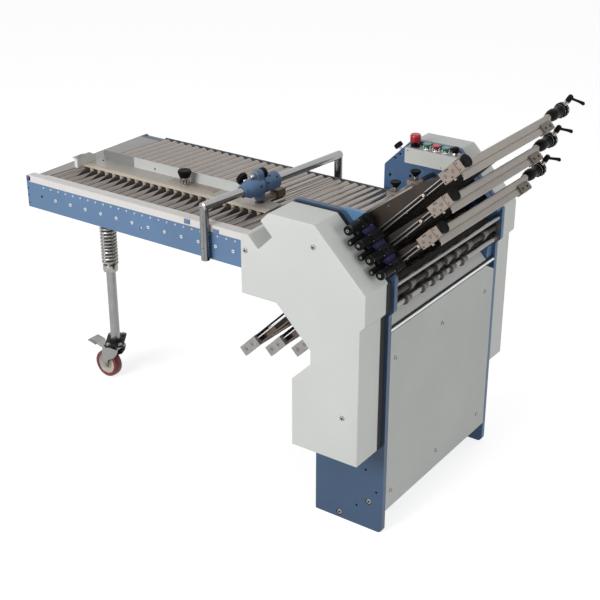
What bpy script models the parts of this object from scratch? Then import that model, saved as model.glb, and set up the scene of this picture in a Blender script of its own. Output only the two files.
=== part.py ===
"""Paper folding machine: a roller register table feeds a floor-standing buckle folding unit.

Metres, +Z up. +X runs with the paper, from the table to the delivery rollers, and -Y is the near side.
The origin lies on the floor under the middle of the machine.
Shapes are worked out from the front edge of the side plates (x = 0 there), so every object is placed
FRONT_X along X from the origin.
"""
import math

import bmesh
import bpy
from mathutils import Matrix, Vector

# Whole machine
FRONT_X = 0.576
ORIGIN_INWARD = 0.2785
INNER_WIDTH = 0.600
FIT_GAP = 0.0003
OVERRUN = 0.010
WELD = 0.002
FOLD_ANGLE = math.radians(45)
SKEW_ANGLE = math.radians(6.6)
BRIDGE_SKEW_ANGLE = math.radians(5.9)

# Side plates
PLATE_THICK = 0.016
PLATE_FOOT_WIDTH = 0.230
PLATE_BROW = 0.015
BROW_LOW = 0.697
PLATE_TOP = 0.965
EDGE_Z = 0.825
REAR_X = 0.397
TOP_REAR_X = 0.302
REAR_LOW = 0.706
THROAT_BACK_X = 0.1695
THROAT_TOP = 0.597
THROAT_LOW = 0.557
FOOT_CHAMFER = 0.010
NOTCH_WIDTH = 0.059
NOTCH_DEPTH = 0.054
NOTCH_LIP_X = 0.332
LOBE_RISE = 0.033
LOBE_CHAMFER = 0.012

# Fold rollers: an upper and a lower row, one row pitch apart between neighbours
ROLLER_PITCH = 0.047
ROLLER_RADIUS = 0.020
ROLLER_NIP = 0.0004
UPPER_ROW_T = -0.100
UPPER_ROW_S = -0.1275
ROLLERS_IN_ROW = 4
ROLLER_END_GAP = 0.003
JOURNAL_RADIUS = 0.010
JOURNAL_REACH = 0.012
ROLLER_SIDES = 16

# Fold plates and their outer ends
FOLD_PLATES = 3
PLATE_BODY = 0.012
PLATE_SLOT = 0.005
PLATE_SIDE_BAR = 0.014
UPPER_MOUTH_T = -0.086
UPPER_END_T = 0.325
LOWER_MOUTH_T = 0.145
LOWER_END_T = 0.602
END_STEP_T = 0.0845
GRID_SLOTS = 7
GRID_BAR_SHARE = 0.45
END_BLOCK_LENGTH = 0.074
END_BLOCK_DEPTH = 0.032
END_BLOCK_Y = -0.004
LOWER_BLOCK_Y = 0.006
FAR_BLOCK_LENGTH = 0.080
FAR_BLOCK_DROP = 0.022
FAR_BLOCK_INSET = 0.036
FAR_BLOCK_WIDTH = 0.030
END_RAIL_HALF = 0.010
END_RAIL_LIP = 0.020
END_RAIL_DEPTH = 0.027
END_RAIL_WALL = 0.006
GUIDE_ROD_RADIUS = 0.0045
GUIDE_ROD_Y = 0.019
FAR_ROD_INSET = 0.0325
GUIDE_ROD_INNER_T = -0.050
PLATE_NEAR_Y = GUIDE_ROD_Y + GUIDE_ROD_RADIUS + FIT_GAP
PLATE_FAR_Y = INNER_WIDTH - FAR_ROD_INSET - GUIDE_ROD_RADIUS - FIT_GAP
LEDGE_S = (-0.135, 0.020)
LEDGE_T = (-0.045, -0.002)
RUNNER_T = (-0.275, -0.156)
GRIP_RADIUS = 0.014
GRIP_LENGTH = 0.042
CLAMP_RADIUS = 0.021
CLAMP_LENGTH = 0.026
STOP_KNOB_RADIUS = 0.0185
STOP_KNOB_LENGTH = 0.012
LEVER_HUB_RADIUS = 0.008
LEVER_HUB_HEIGHT = 0.034
LEVER_ARM_LENGTH = 0.045
LEVER_ARM_RADIUS = 0.0055
LEVER_ARM_SINK = 0.008
LEVER_TIP_RISE = 0.005
LEVER_LEAN = math.radians(31)
LEVER_TURNS = (0.0, math.radians(29), math.radians(36))

# Bearing adjuster blocks on the slanted edge of the near plate
BLOCK_COUNT = 4
BLOCK_FIRST_S = -0.146
BLOCK_WIDTH = 0.034
BLOCK_HEIGHT = 0.034
BLOCK_BAR = 0.008
BLOCK_IN_Y = GUIDE_ROD_Y - GUIDE_ROD_RADIUS - FIT_GAP
BLOCK_OUT_Y = 0.032
CAP_RADIUS = 0.013
CAP_OUT_Y = 0.088

# Delivery shafts, chute and front panel
SHAFT_X = -0.004
SHAFT_Z = 0.750
SHAFT_SPACING = 0.036
SHAFT_RADIUS = 0.009
SHAFT_JOURNAL = 0.007
COLLAR_RADIUS = 0.0175
COLLAR_WIDTH = 0.014
COLLAR_COUNT = 6
COLLAR_FIRST_Y = 0.105
COLLAR_PITCH = 0.072
ROD_X = 0.005
ROD_Z = 0.782
ROD_RADIUS = 0.0065
PANEL_LOW = 0.070
PANEL_TOP = 0.640
PANEL_SHEET = 0.0025
PANEL_RETURN = 0.020
CHUTE_LOW_Z = 0.6465
CHUTE_RUN = 0.040
CHUTE_SHEET = 0.003
CHUTE_ROLL_RADIUS = 0.005

# Covers
COVER_INSET = 0.003
COVER_FOOT = 0.283
COVER_SHEET = 0.0025
NEAR_COVER_GAP = 0.017
NEAR_COVER_DEPTH = 0.109
FAR_COVER_GAP = 0.003
FAR_COVER_DEPTH = 0.080
BOSS_RADIUS = 0.007
BOSS_SIDES = 12
COVER_SCREWS = ((-0.378, 0.838), (-0.158, 0.900), (-0.061, 0.425))

# Drive
MOTOR_X = -0.115
MOTOR_Z = 0.380
MOTOR_RADIUS = 0.055
MOTOR_LENGTH = 0.190
MOTOR_FLANGE = 0.120
MOTOR_FLANGE_THICK = 0.012
MOTOR_SHAFT = 0.009
MOTOR_SHAFT_REACH = 0.030
MOTOR_PULLEY_RADIUS = 0.028
ROLLER_PULLEY_RADIUS = 0.040
PULLEY_FACE_Y = 0.050
PULLEY_WIDTH = 0.026
BELT_WIDTH = 0.020
BELT_THICK = 0.004
BELT_ARC_STEPS = 10
DRIVEN_ROLLER = 6
TIE_BACK_X = 0.190
TIE_FRONT_X = 0.045
TIE_LOW = 0.050
TIE_HIGH = 0.100
TIE_WALL = 0.005

# Control box and its buttons
BOX_LEFT_X = 0.300
BOX_RIGHT_X = 0.119
BOX_LOW = 0.906
BOX_TOP = 0.954
BOX_DEPTH = 0.045
BUTTON_Y = 0.023
BUTTON_STEM_RADIUS = 0.0055
BUTTON_STEM_LENGTH = 0.010
BORE_DEPTH = 0.018
BUTTON_CAP_RADIUS = 0.0105
BUTTON_CAP_HEIGHT = 0.006
BUTTON_BEZEL_RADIUS = 0.0125
BUTTON_BEZEL_HEIGHT = 0.008
BUTTON_LIFT = 0.0045
STOP_CAP_RADIUS = 0.0150
STOP_CAP_HEIGHT = 0.018
STOP_BASE_HEIGHT = 0.014
BUTTON_X = {"emergency_stop": 0.277, "start_button": 0.236, "stop_button": 0.205,
            "jog_button": 0.172, "speed_knob": 0.139}
KNOB_RADIUS = 0.0095
KNOB_HEIGHT = 0.016

# Register table
RAIL_FACE_Y = 0.012
RAIL_LOW = 0.698
RAIL_TOP = 0.787
RAIL_WALL = 0.004
RAIL_FLANGE = 0.036
RAIL_INNER_X = 0.262
RAIL_OUTER_X = 1.366
RAIL_PAD_X = 0.390
TABLE_ROLLERS = 33
TABLE_PITCH = 0.032
TABLE_ROLLER_RADIUS = 0.0135
TABLE_ROLLER_Z = 0.792
TABLE_FIRST_X = 1.300
TABLE_ROLLER_NEAR_Y = 0.050
TABLE_ROLLER_FAR_INSET = 0.0455
TABLE_JOURNAL_RADIUS = 0.004
TABLE_ROLLER_SIDES = 10
STRIP_Y = 0.0410
STRIP_THICK = 0.005
STRIP_LOW = 0.7873
STRIP_TOP = 0.806
TOP_STRIP_INNER_Y = 0.0405
BEAM_THICK = 0.010
DECK_SHEET = 0.0025
DECK_EDGE_GAP = 0.012

# Side guide
GUIDE_LEFT_X = 1.285
GUIDE_RIGHT_X = 0.545
GUIDE_WALL_RIGHT_X = 0.700
GUIDE_NEAR_Y = 0.167
GUIDE_WALL_Y = 0.249
GUIDE_SHEET = 0.003
GUIDE_WALL_HEIGHT = 0.0291
GUIDE_LIFT = 0.0004
GUIDE_TAB_Y = 0.202
GUIDE_KNOB_X = 0.890
GUIDE_KNOB_Y = 0.220
GUIDE_POST_RADIUS = 0.006
GUIDE_POST_HEIGHT = 0.020
GUIDE_KNOB_RADIUS = 0.018
GUIDE_KNOB_HEIGHT = 0.022

# Bridge over the table, and the clamp that carries the side guide
BRIDGE_X = 0.6315
BRIDGE_Z = 0.864
BRIDGE_BAR_RADIUS = 0.0135
BRIDGE_POST_RADIUS = 0.0135
BRIDGE_OVERHANG = 0.010
BRIDGE_SIDES = 16
CLAMP_NEAR_Y = 0.155
CLAMP_FAR_Y = 0.303
CLAMP_BODY_RADIUS = 0.024
CLAMP_NOSE_RADIUS = 0.018
CLAMP_BORE_GAP = 0.0006
CLAMP_SHOULDER_SHARES = (0.0, 0.16, 0.62, 1.0)
BOSS_TOP = 0.044
BOSS_UP_RADIUS = 0.015
FOOT_RADIUS = 0.016
FOOT_Y = 0.232
UP_BOSS_Y = 0.224
CLAMP_KNOB_RADIUS = 0.019
CLAMP_KNOB_LENGTH = 0.016
CLAMP_KNOB_STEM = 0.006
CLAMP_KNOB_STEM_LENGTH = 0.014
CLAMP_KNOB_Y = 0.201
CLAMP_KNOB_TILT = math.radians(25)

# Sprung leg with a braked caster
LEG_X = 1.258
LEG_Y = 0.243
SOCKET_BEAM_HALF = 0.032
SOCKET_BEAM_LOW = 0.7023
SOCKET_BEAM_TOP = 0.712
SOCKET_RADIUS = 0.0205
SOCKET_LOW = 0.560
TUBE_RADIUS = 0.0165
TUBE_TOP = 0.620
TUBE_CLEAR = 0.0006
SPRING_SEAT = 0.441
COLLAR_BOTTOM = 0.416
LEG_COLLAR_RADIUS = 0.026
SPRING_RADIUS = 0.0255
SPRING_WIRE = 0.0030
SPRING_CURLS = 21
CURL_POINTS = 8
CASTER_PLATE_WIDTH = 0.065
CASTER_PLATE_LENGTH = 0.108
CASTER_PLATE_TURN = math.radians(35)
CASTER_PLATE_THICK = 0.005
CASTER_PLATE_TOP = 0.152
SWIVEL_RADIUS = 0.026
SWIVEL_HEIGHT = 0.014
CASTER_TRAIL = 0.040
WHEEL_RADIUS = 0.050
WHEEL_WIDTH = 0.032
TYRE_SHOULDER_RADIUS = 0.045
WHEEL_RIM_RADIUS = 0.0375
WHEEL_DISC_RADIUS = 0.0345
WHEEL_HUB_RADIUS = 0.0125
WHEEL_ROUND = 0.005
WHEEL_END_GAP = 0.0006
WHEEL_BORE_RADIUS = 0.0062
WHEEL_SIDES = 28
AXLE_RADIUS = 0.0055
FORK_GAP = 0.0195
FORK_WALL = 0.003
FORK_ARM_HALF = 0.011
FORK_BRIDGE = 0.008
PEDAL_PIVOT_X = 0.048
PEDAL_PIVOT_Z = 0.116
PEDAL_LENGTH = 0.062
PEDAL_THICK = 0.006
PEDAL_RISE = 0.012
PEDAL_BOSS = 0.006
PEDAL_TREAD_HALF = 0.026
PEDAL_TREAD_LENGTH = 0.034
PEDAL_TREAD_INSET = 0.001

# Hold-down shaft over the infeed rollers
HOLD_X = 0.225
HOLD_DROP = 0.095
HOLD_Z = PLATE_TOP - HOLD_DROP
HOLD_SHAFT_RADIUS = 0.008
HOLD_BLOCK_INSETS = (0.221, 0.106)
HOLD_BLOCK_WIDTH = 0.040
HOLD_BLOCK_DEPTH = 0.034
HOLD_BLOCK_HEIGHT = 0.026
HOLD_POST_RADIUS = 0.007
HOLD_POST_HEIGHT = 0.014
HOLD_KNOB_RADIUS = 0.016
HOLD_KNOB_HEIGHT = 0.016

# Colours: red, green, blue, roughness, metallic
BLUE = (0.105, 0.212, 0.423, 0.45, 0.0)
PALE = (0.640, 0.655, 0.630, 0.50, 0.0)
PANEL_GREY = (0.400, 0.410, 0.385, 0.55, 0.0)
BLACK = (0.018, 0.018, 0.020, 0.45, 0.0)
CHROME = (0.620, 0.620, 0.610, 0.20, 1.0)
STEEL = (0.420, 0.385, 0.350, 0.38, 1.0)
DARK_STEEL = (0.060, 0.045, 0.038, 0.45, 0.5)
BEIGE = (0.520, 0.450, 0.400, 0.50, 0.3)
RED = (0.520, 0.015, 0.020, 0.40, 0.0)
GREEN = (0.020, 0.300, 0.140, 0.40, 0.0)
TYRE_RED = (0.270, 0.020, 0.028, 0.45, 0.0)


def remove_scene_objects():
    for item in list(bpy.data.objects):
        bpy.data.objects.remove(item, do_unlink=True)


def machine_y(inward):
    """World Y of a place measured inward from the near side plate's inner face."""
    return inward - ORIGIN_INWARD


def fold_xz(s, t):
    """Side view place of s, down along the slanted edge, and t, out along the upper fold plates."""
    x = s * math.cos(FOLD_ANGLE) + t * math.sin(FOLD_ANGLE)
    z = EDGE_Z - s * math.sin(FOLD_ANGLE) + t * math.cos(FOLD_ANGLE)
    return x, z


def fold_point(s, inward, t):
    x, z = fold_xz(s, t)
    return Vector((x, machine_y(inward), z))


def paint(item, finish):
    red, green, blue, roughness, metallic = finish
    material = bpy.data.materials.new(item.name + "_finish")
    material.use_nodes = True
    shader = material.node_tree.nodes["Principled BSDF"]
    shader.inputs["Base Color"].default_value = (red, green, blue, 1.0)
    shader.inputs["Roughness"].default_value = roughness
    shader.inputs["Metallic"].default_value = metallic
    material.diffuse_color = (red, green, blue, 1.0)
    item.data.materials.clear()
    item.data.materials.append(material)


def place(name, mesh_parts, finish, origin=(0.0, 0.0, 0.0), smooth=False):
    """One object from a bmesh in plate coordinates, with its origin at the given place."""
    bmesh.ops.recalc_face_normals(mesh_parts, faces=mesh_parts.faces)
    origin = Vector(origin)
    bmesh.ops.translate(mesh_parts, vec=-origin, verts=mesh_parts.verts)
    mesh = bpy.data.meshes.new(name)
    mesh_parts.to_mesh(mesh)
    mesh_parts.free()
    if smooth:
        mesh.shade_smooth()
        mesh.set_sharp_from_angle(angle=math.radians(35))
    item = bpy.data.objects.new(name, mesh)
    bpy.context.collection.objects.link(item)
    item.location = origin + Vector((FRONT_X, 0.0, 0.0))
    paint(item, finish)
    return item


def combine(item, tool, operation):
    """Adds or cuts a tool shape, which stays out of the model as a wire guide."""
    tool.hide_render = True
    tool.display_type = "WIRE"
    modifier = item.modifiers.new(operation.lower() + "_" + tool.name, "BOOLEAN")
    modifier.operation = operation
    modifier.solver = "EXACT"
    modifier.object = tool


def cut(item, mesh_parts, label):
    combine(item, place(item.name + "_" + label, mesh_parts, BLACK), "DIFFERENCE")


def join(item, mesh_parts, label):
    combine(item, place(item.name + "_" + label, mesh_parts, BLACK), "UNION")


def add_block(shape, low, high):
    """Adds a box between two corners."""
    low, high = Vector(low), Vector(high)
    size = high - low
    matrix = Matrix.Translation((low + high) / 2) @ Matrix.Diagonal((size.x, size.y, size.z, 1.0))
    bmesh.ops.create_cube(shape, size=1.0, matrix=matrix)


def add_prism(shape, outline, low, high, axis="y"):
    """Adds an outline extruded along one axis; outlines are (x, z) for y and (x, y) for z."""
    def corner(point, level):
        a, b = point
        if axis == "y":
            return Vector((a, level, b))
        if axis == "x":
            return Vector((level, a, b))
        return Vector((a, b, level))

    bottom = [shape.verts.new(corner(point, low)) for point in outline]
    top = [shape.verts.new(corner(point, high)) for point in outline]
    shape.faces.new(bottom)
    shape.faces.new(list(reversed(top)))
    for index in range(len(outline)):
        after = (index + 1) % len(outline)
        shape.faces.new((bottom[after], bottom[index], top[index], top[after]))


def turning_frame(start, direction):
    """A matrix whose Z runs along the direction from the start point."""
    direction = Vector(direction).normalized()
    turn = direction.to_track_quat("Z", "Y").to_matrix().to_4x4()
    return Matrix.Translation(Vector(start)) @ turn


def add_turned(shape, start, direction, stations, sides):
    """Adds a solid turned about a line; each station is (distance along it, radius)."""
    frame = turning_frame(start, direction)
    rings = []
    for along, radius in stations:
        ring = []
        for index in range(sides):
            angle = 2 * math.pi * index / sides
            ring.append(shape.verts.new(frame @ Vector((radius * math.cos(angle), radius * math.sin(angle), along))))
        rings.append(ring)
    shape.faces.new(list(reversed(rings[0])))
    shape.faces.new(rings[-1])
    for first, second in zip(rings, rings[1:]):
        for index in range(sides):
            after = (index + 1) % sides
            shape.faces.new((first[index], first[after], second[after], second[index]))


def hole_radius(radius, gap, sides):
    """Corner radius of a faceted hole whose flats clear a round of the given radius."""
    return (radius + gap) / math.cos(math.pi / sides)


def offset_outline(outline, distance):
    """Moves every side of a counter-clockwise outline inward by one distance."""
    moved = []
    count = len(outline)
    for index in range(count):
        before, here, after = outline[index - 1], outline[index], outline[(index + 1) % count]
        first = Vector((here[0] - before[0], here[1] - before[1])).normalized()
        second = Vector((after[0] - here[0], after[1] - here[1])).normalized()
        normal_a, normal_b = Vector((-first.y, first.x)), Vector((-second.y, second.x))
        mitre = (normal_a + normal_b) / (1 + normal_a.dot(normal_b))
        moved.append((here[0] + mitre.x * distance, here[1] + mitre.y * distance))
    return moved


def side_outline(foot, notched):
    """Outline of a side plate or cover in side view, counter-clockwise from its lower rear corner."""
    points = [(-PLATE_FOOT_WIDTH, foot)]
    if foot == 0:
        points += [(-FOOT_CHAMFER, foot), (0.0, foot + FOOT_CHAMFER)]
    else:
        points += [(0.0, foot)]
    points += [
        (0.0, BROW_LOW),
        (PLATE_BROW, BROW_LOW + PLATE_BROW),
        (PLATE_BROW, EDGE_Z - PLATE_BROW),
        (EDGE_Z - PLATE_TOP, PLATE_TOP),
        (-TOP_REAR_X, PLATE_TOP),
    ]
    if notched:
        reach = NOTCH_DEPTH * math.sin(FOLD_ANGLE)
        width = NOTCH_WIDTH * math.sin(FOLD_ANGLE)
        lip = (-NOTCH_LIP_X, PLATE_TOP - (NOTCH_LIP_X - TOP_REAR_X))
        inner = (lip[0] + reach, lip[1] - reach)
        low = (inner[0] - width, inner[1] - width)
        lobe = (low[0] - LOBE_RISE, low[1] + LOBE_RISE)
        points += [
            lip,
            inner,
            low,
            lobe,
            (-REAR_X + LOBE_CHAMFER, lobe[1]),
            (-REAR_X, lobe[1] - LOBE_CHAMFER),
        ]
    else:
        points += [(-REAR_X, PLATE_TOP - (REAR_X - TOP_REAR_X))]
    points += [
        (-REAR_X, REAR_LOW),
        (-THROAT_BACK_X - (REAR_LOW - THROAT_TOP), REAR_LOW),
        (-THROAT_BACK_X, THROAT_TOP),
        (-THROAT_BACK_X, THROAT_LOW),
        (-PLATE_FOOT_WIDTH, THROAT_LOW - (PLATE_FOOT_WIDTH - THROAT_BACK_X)),
    ]
    return points


def add_fold_block(shape, s_range, y_range, t_range):
    """Adds a block that lies along the fold plates; y is measured inward from the near plate."""
    outline = [
        fold_xz(s_range[0], t_range[0]),
        fold_xz(s_range[1], t_range[0]),
        fold_xz(s_range[1], t_range[1]),
        fold_xz(s_range[0], t_range[1]),
    ]
    add_prism(shape, outline, machine_y(y_range[0]), machine_y(y_range[1]))


def roller_places():
    """Side view (s, t) centres of the fold rollers, first upper then lower, down the slanted edge."""
    spacing = 2 * ROLLER_RADIUS + ROLLER_NIP
    row_drop = math.sqrt(spacing ** 2 - (ROLLER_PITCH / 2) ** 2)
    places = []
    for index in range(ROLLERS_IN_ROW):
        s = UPPER_ROW_S + index * ROLLER_PITCH
        places.append((s, UPPER_ROW_T))
        places.append((s + ROLLER_PITCH / 2, UPPER_ROW_T - row_drop))
    return places


def make_side_plates():
    across = Vector((0.0, 1.0, 0.0))
    sides = {"near_side_plate": -PLATE_THICK, "far_side_plate": INNER_WIDTH}
    for name, inner in sides.items():
        is_near = name == "near_side_plate"
        shape = bmesh.new()
        low = machine_y(inner)
        add_prism(shape, side_outline(0.0, is_near), low, low + PLATE_THICK)
        plate = place(name, shape, BLUE)
        holes = bmesh.new()
        bore = hole_radius(JOURNAL_RADIUS, FIT_GAP, ROLLER_SIDES)
        for s, t in roller_places():
            x, z = fold_xz(s, t)
            start = (x, low - OVERRUN, z)
            add_turned(holes, start, across, [(0.0, bore), (PLATE_THICK + 2 * OVERRUN, bore)], ROLLER_SIDES)
        bore = hole_radius(SHAFT_JOURNAL, FIT_GAP, ROLLER_SIDES)
        for drop in (0.0, SHAFT_SPACING):
            start = (SHAFT_X, low - OVERRUN, SHAFT_Z - drop)
            add_turned(holes, start, across, [(0.0, bore), (PLATE_THICK + 2 * OVERRUN, bore)], ROLLER_SIDES)
        if is_near:
            bore = hole_radius(MOTOR_SHAFT, FIT_GAP, ROLLER_SIDES)
            start = (MOTOR_X, low - OVERRUN, MOTOR_Z)
            add_turned(holes, start, across, [(0.0, bore), (PLATE_THICK + 2 * OVERRUN, bore)], ROLLER_SIDES)
        cut(plate, holes, "bores")
        if not is_near:
            ledge = bmesh.new()
            ledge_y = (INNER_WIDTH - FAR_ROD_INSET + GUIDE_ROD_RADIUS + FIT_GAP, INNER_WIDTH + WELD)
            add_fold_block(ledge, LEDGE_S, ledge_y, LEDGE_T)
            join(plate, ledge, "rod_ledge")


def make_cover(name, notched, plate_face, outward, gap, depth, screws):
    """A sheet metal box open towards its side plate, on bosses that reach the plate."""
    outline = offset_outline(side_outline(COVER_FOOT, notched), COVER_INSET)
    inner_outline = offset_outline(outline, COVER_SHEET)
    open_y = plate_face + outward * gap
    outer_y = open_y + outward * depth
    shell = bmesh.new()
    add_prism(shell, outline, min(open_y, outer_y), max(open_y, outer_y))
    cover = place(name, shell, PALE)
    hollow = bmesh.new()
    mouth_y = open_y - outward * OVERRUN
    floor_y = outer_y - outward * COVER_SHEET
    add_prism(hollow, inner_outline, min(mouth_y, floor_y), max(mouth_y, floor_y))
    cut(cover, hollow, "hollow")
    bosses = bmesh.new()
    reach = gap + depth - FIT_GAP - COVER_SHEET / 2
    for x, z in screws:
        start = (x, plate_face + outward * FIT_GAP, z)
        add_turned(bosses, start, (0.0, outward, 0.0), [(0.0, BOSS_RADIUS), (reach, BOSS_RADIUS)], BOSS_SIDES)
    join(cover, bosses, "bosses")


def make_covers():
    make_cover("near_cover", True, machine_y(-PLATE_THICK), -1.0, NEAR_COVER_GAP, NEAR_COVER_DEPTH, COVER_SCREWS)
    far_face = machine_y(INNER_WIDTH + PLATE_THICK)
    make_cover("far_cover", False, far_face, 1.0, FAR_COVER_GAP, FAR_COVER_DEPTH, COVER_SCREWS)


def inner_span():
    """World Y of the faces of a piece that fills the width between the side plates."""
    return machine_y(FIT_GAP), machine_y(INNER_WIDTH - FIT_GAP)


def make_panel_and_chute():
    low, high = inner_span()
    sheet = PANEL_SHEET
    panel = bmesh.new()
    outline = [
        (-PANEL_RETURN, PANEL_LOW),
        (0.0, PANEL_LOW),
        (0.0, PANEL_TOP),
        (-PANEL_RETURN, PANEL_TOP),
        (-PANEL_RETURN, PANEL_TOP - sheet),
        (-sheet, PANEL_TOP - sheet),
        (-sheet, PANEL_LOW + sheet),
        (-PANEL_RETURN, PANEL_LOW + sheet),
    ]
    add_prism(panel, outline, low, high)
    place("front_panel", panel, PANEL_GREY)

    chute = bmesh.new()
    top_z = CHUTE_LOW_Z + CHUTE_RUN
    edge_x = -CHUTE_ROLL_RADIUS
    outline = [
        (edge_x, CHUTE_LOW_Z),
        (edge_x, CHUTE_LOW_Z + CHUTE_SHEET),
        (edge_x - CHUTE_RUN, top_z + CHUTE_SHEET),
        (edge_x - CHUTE_RUN, top_z),
    ]
    add_prism(chute, outline, low, high)
    chute_plate = place("delivery_chute", chute, PANEL_GREY)
    rolled = bmesh.new()
    add_turned(
        rolled,
        (edge_x, low, CHUTE_LOW_Z),
        (0.0, 1.0, 0.0),
        [(0.0, CHUTE_ROLL_RADIUS), (high - low, CHUTE_ROLL_RADIUS)],
        BOSS_SIDES,
    )
    join(chute_plate, rolled, "rolled_edge")

    rod = bmesh.new()
    add_turned(rod, (ROD_X, low, ROD_Z), (0.0, 1.0, 0.0), [(0.0, ROD_RADIUS), (high - low, ROD_RADIUS)], BOSS_SIDES)
    place("delivery_rod", rod, CHROME, smooth=True)


def shaft_stations():
    """Stations of a delivery shaft along Y, from its near journal's end."""
    end = FIT_GAP + JOURNAL_REACH
    total = INNER_WIDTH + 2 * JOURNAL_REACH
    stations = [(0.0, SHAFT_JOURNAL), (end, SHAFT_JOURNAL), (end, SHAFT_RADIUS)]
    for index in range(COLLAR_COUNT):
        start = JOURNAL_REACH + COLLAR_FIRST_Y + index * COLLAR_PITCH
        stations += [
            (start, SHAFT_RADIUS),
            (start, COLLAR_RADIUS),
            (start + COLLAR_WIDTH, COLLAR_RADIUS),
            (start + COLLAR_WIDTH, SHAFT_RADIUS),
        ]
    stations += [(total - end, SHAFT_RADIUS), (total - end, SHAFT_JOURNAL), (total, SHAFT_JOURNAL)]
    return stations


def make_delivery_shafts():
    for name, drop in (("upper_delivery_shaft", 0.0), ("lower_delivery_shaft", SHAFT_SPACING)):
        axis_start = (SHAFT_X, machine_y(-JOURNAL_REACH), SHAFT_Z - drop)
        shape = bmesh.new()
        add_turned(shape, axis_start, (0.0, 1.0, 0.0), shaft_stations(), BOSS_SIDES)
        place(name, shape, STEEL, origin=axis_start, smooth=True)


def make_fold_rollers():
    body = INNER_WIDTH - 2 * ROLLER_END_GAP
    for index, (s, t) in enumerate(roller_places(), start=1):
        x, z = fold_xz(s, t)
        start_y = machine_y(-JOURNAL_REACH)
        stations = [(0.0, JOURNAL_RADIUS)]
        if index == DRIVEN_ROLLER:
            pulley_out = PLATE_THICK + PULLEY_FACE_Y + PULLEY_WIDTH
            start_y = machine_y(-pulley_out)
            stations = [
                (0.0, ROLLER_PULLEY_RADIUS),
                (PULLEY_WIDTH, ROLLER_PULLEY_RADIUS),
                (PULLEY_WIDTH, JOURNAL_RADIUS),
            ]
        near = machine_y(ROLLER_END_GAP) - start_y
        far_end = machine_y(INNER_WIDTH + JOURNAL_REACH) - start_y
        stations += [
            (near, JOURNAL_RADIUS),
            (near, ROLLER_RADIUS),
            (near + body, ROLLER_RADIUS),
            (near + body, JOURNAL_RADIUS),
            (far_end, JOURNAL_RADIUS),
        ]
        shape = bmesh.new()
        add_turned(shape, (x, start_y, z), (0.0, 1.0, 0.0), stations, ROLLER_SIDES)
        place("fold_roller_%d" % index, shape, STEEL, origin=(x, start_y, z), smooth=True)


def add_fold_body(plate_name, s, t_range, finish):
    """Two sheets held apart by side bars, with a slot for the paper and long windows through both."""
    t_low, t_high = t_range
    y_range = (PLATE_NEAR_Y, PLATE_FAR_Y)
    shape = bmesh.new()
    add_fold_block(shape, (s - PLATE_BODY / 2, s + PLATE_BODY / 2), y_range, t_range)
    plate = place(plate_name, shape, finish)
    slot = bmesh.new()
    inside = (y_range[0] + PLATE_SIDE_BAR, y_range[1] - PLATE_SIDE_BAR)
    add_fold_block(slot, (s - PLATE_SLOT / 2, s + PLATE_SLOT / 2), inside, (t_low - OVERRUN, t_high + OVERRUN))
    cut(plate, slot, "slot")
    windows = bmesh.new()
    pitch = (inside[1] - inside[0]) / GRID_SLOTS
    bar = pitch * GRID_BAR_SHARE
    through = (s - PLATE_BODY / 2 - OVERRUN, s + PLATE_BODY / 2 + OVERRUN)
    for index in range(GRID_SLOTS):
        start = inside[0] + index * pitch + bar / 2
        add_fold_block(windows, through, (start, start + pitch - bar), (t_low + 2 * OVERRUN, t_high - 2 * OVERRUN))
    cut(plate, windows, "windows")
    return plate, y_range


def rail_outline(s, t, outward):
    """Angle section of an end rail, with its web on the outer side."""
    half_s, half_t, wall = END_RAIL_DEPTH / 2, END_RAIL_HALF, END_RAIL_WALL
    corners = [
        (-half_s, -half_t),
        (-half_s + wall, -half_t),
        (-half_s + wall, half_t - wall),
        (half_s, half_t - wall),
        (half_s, half_t),
        (-half_s, half_t),
    ]
    return [fold_xz(s + a, t + outward * b) for a, b in corners]


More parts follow.
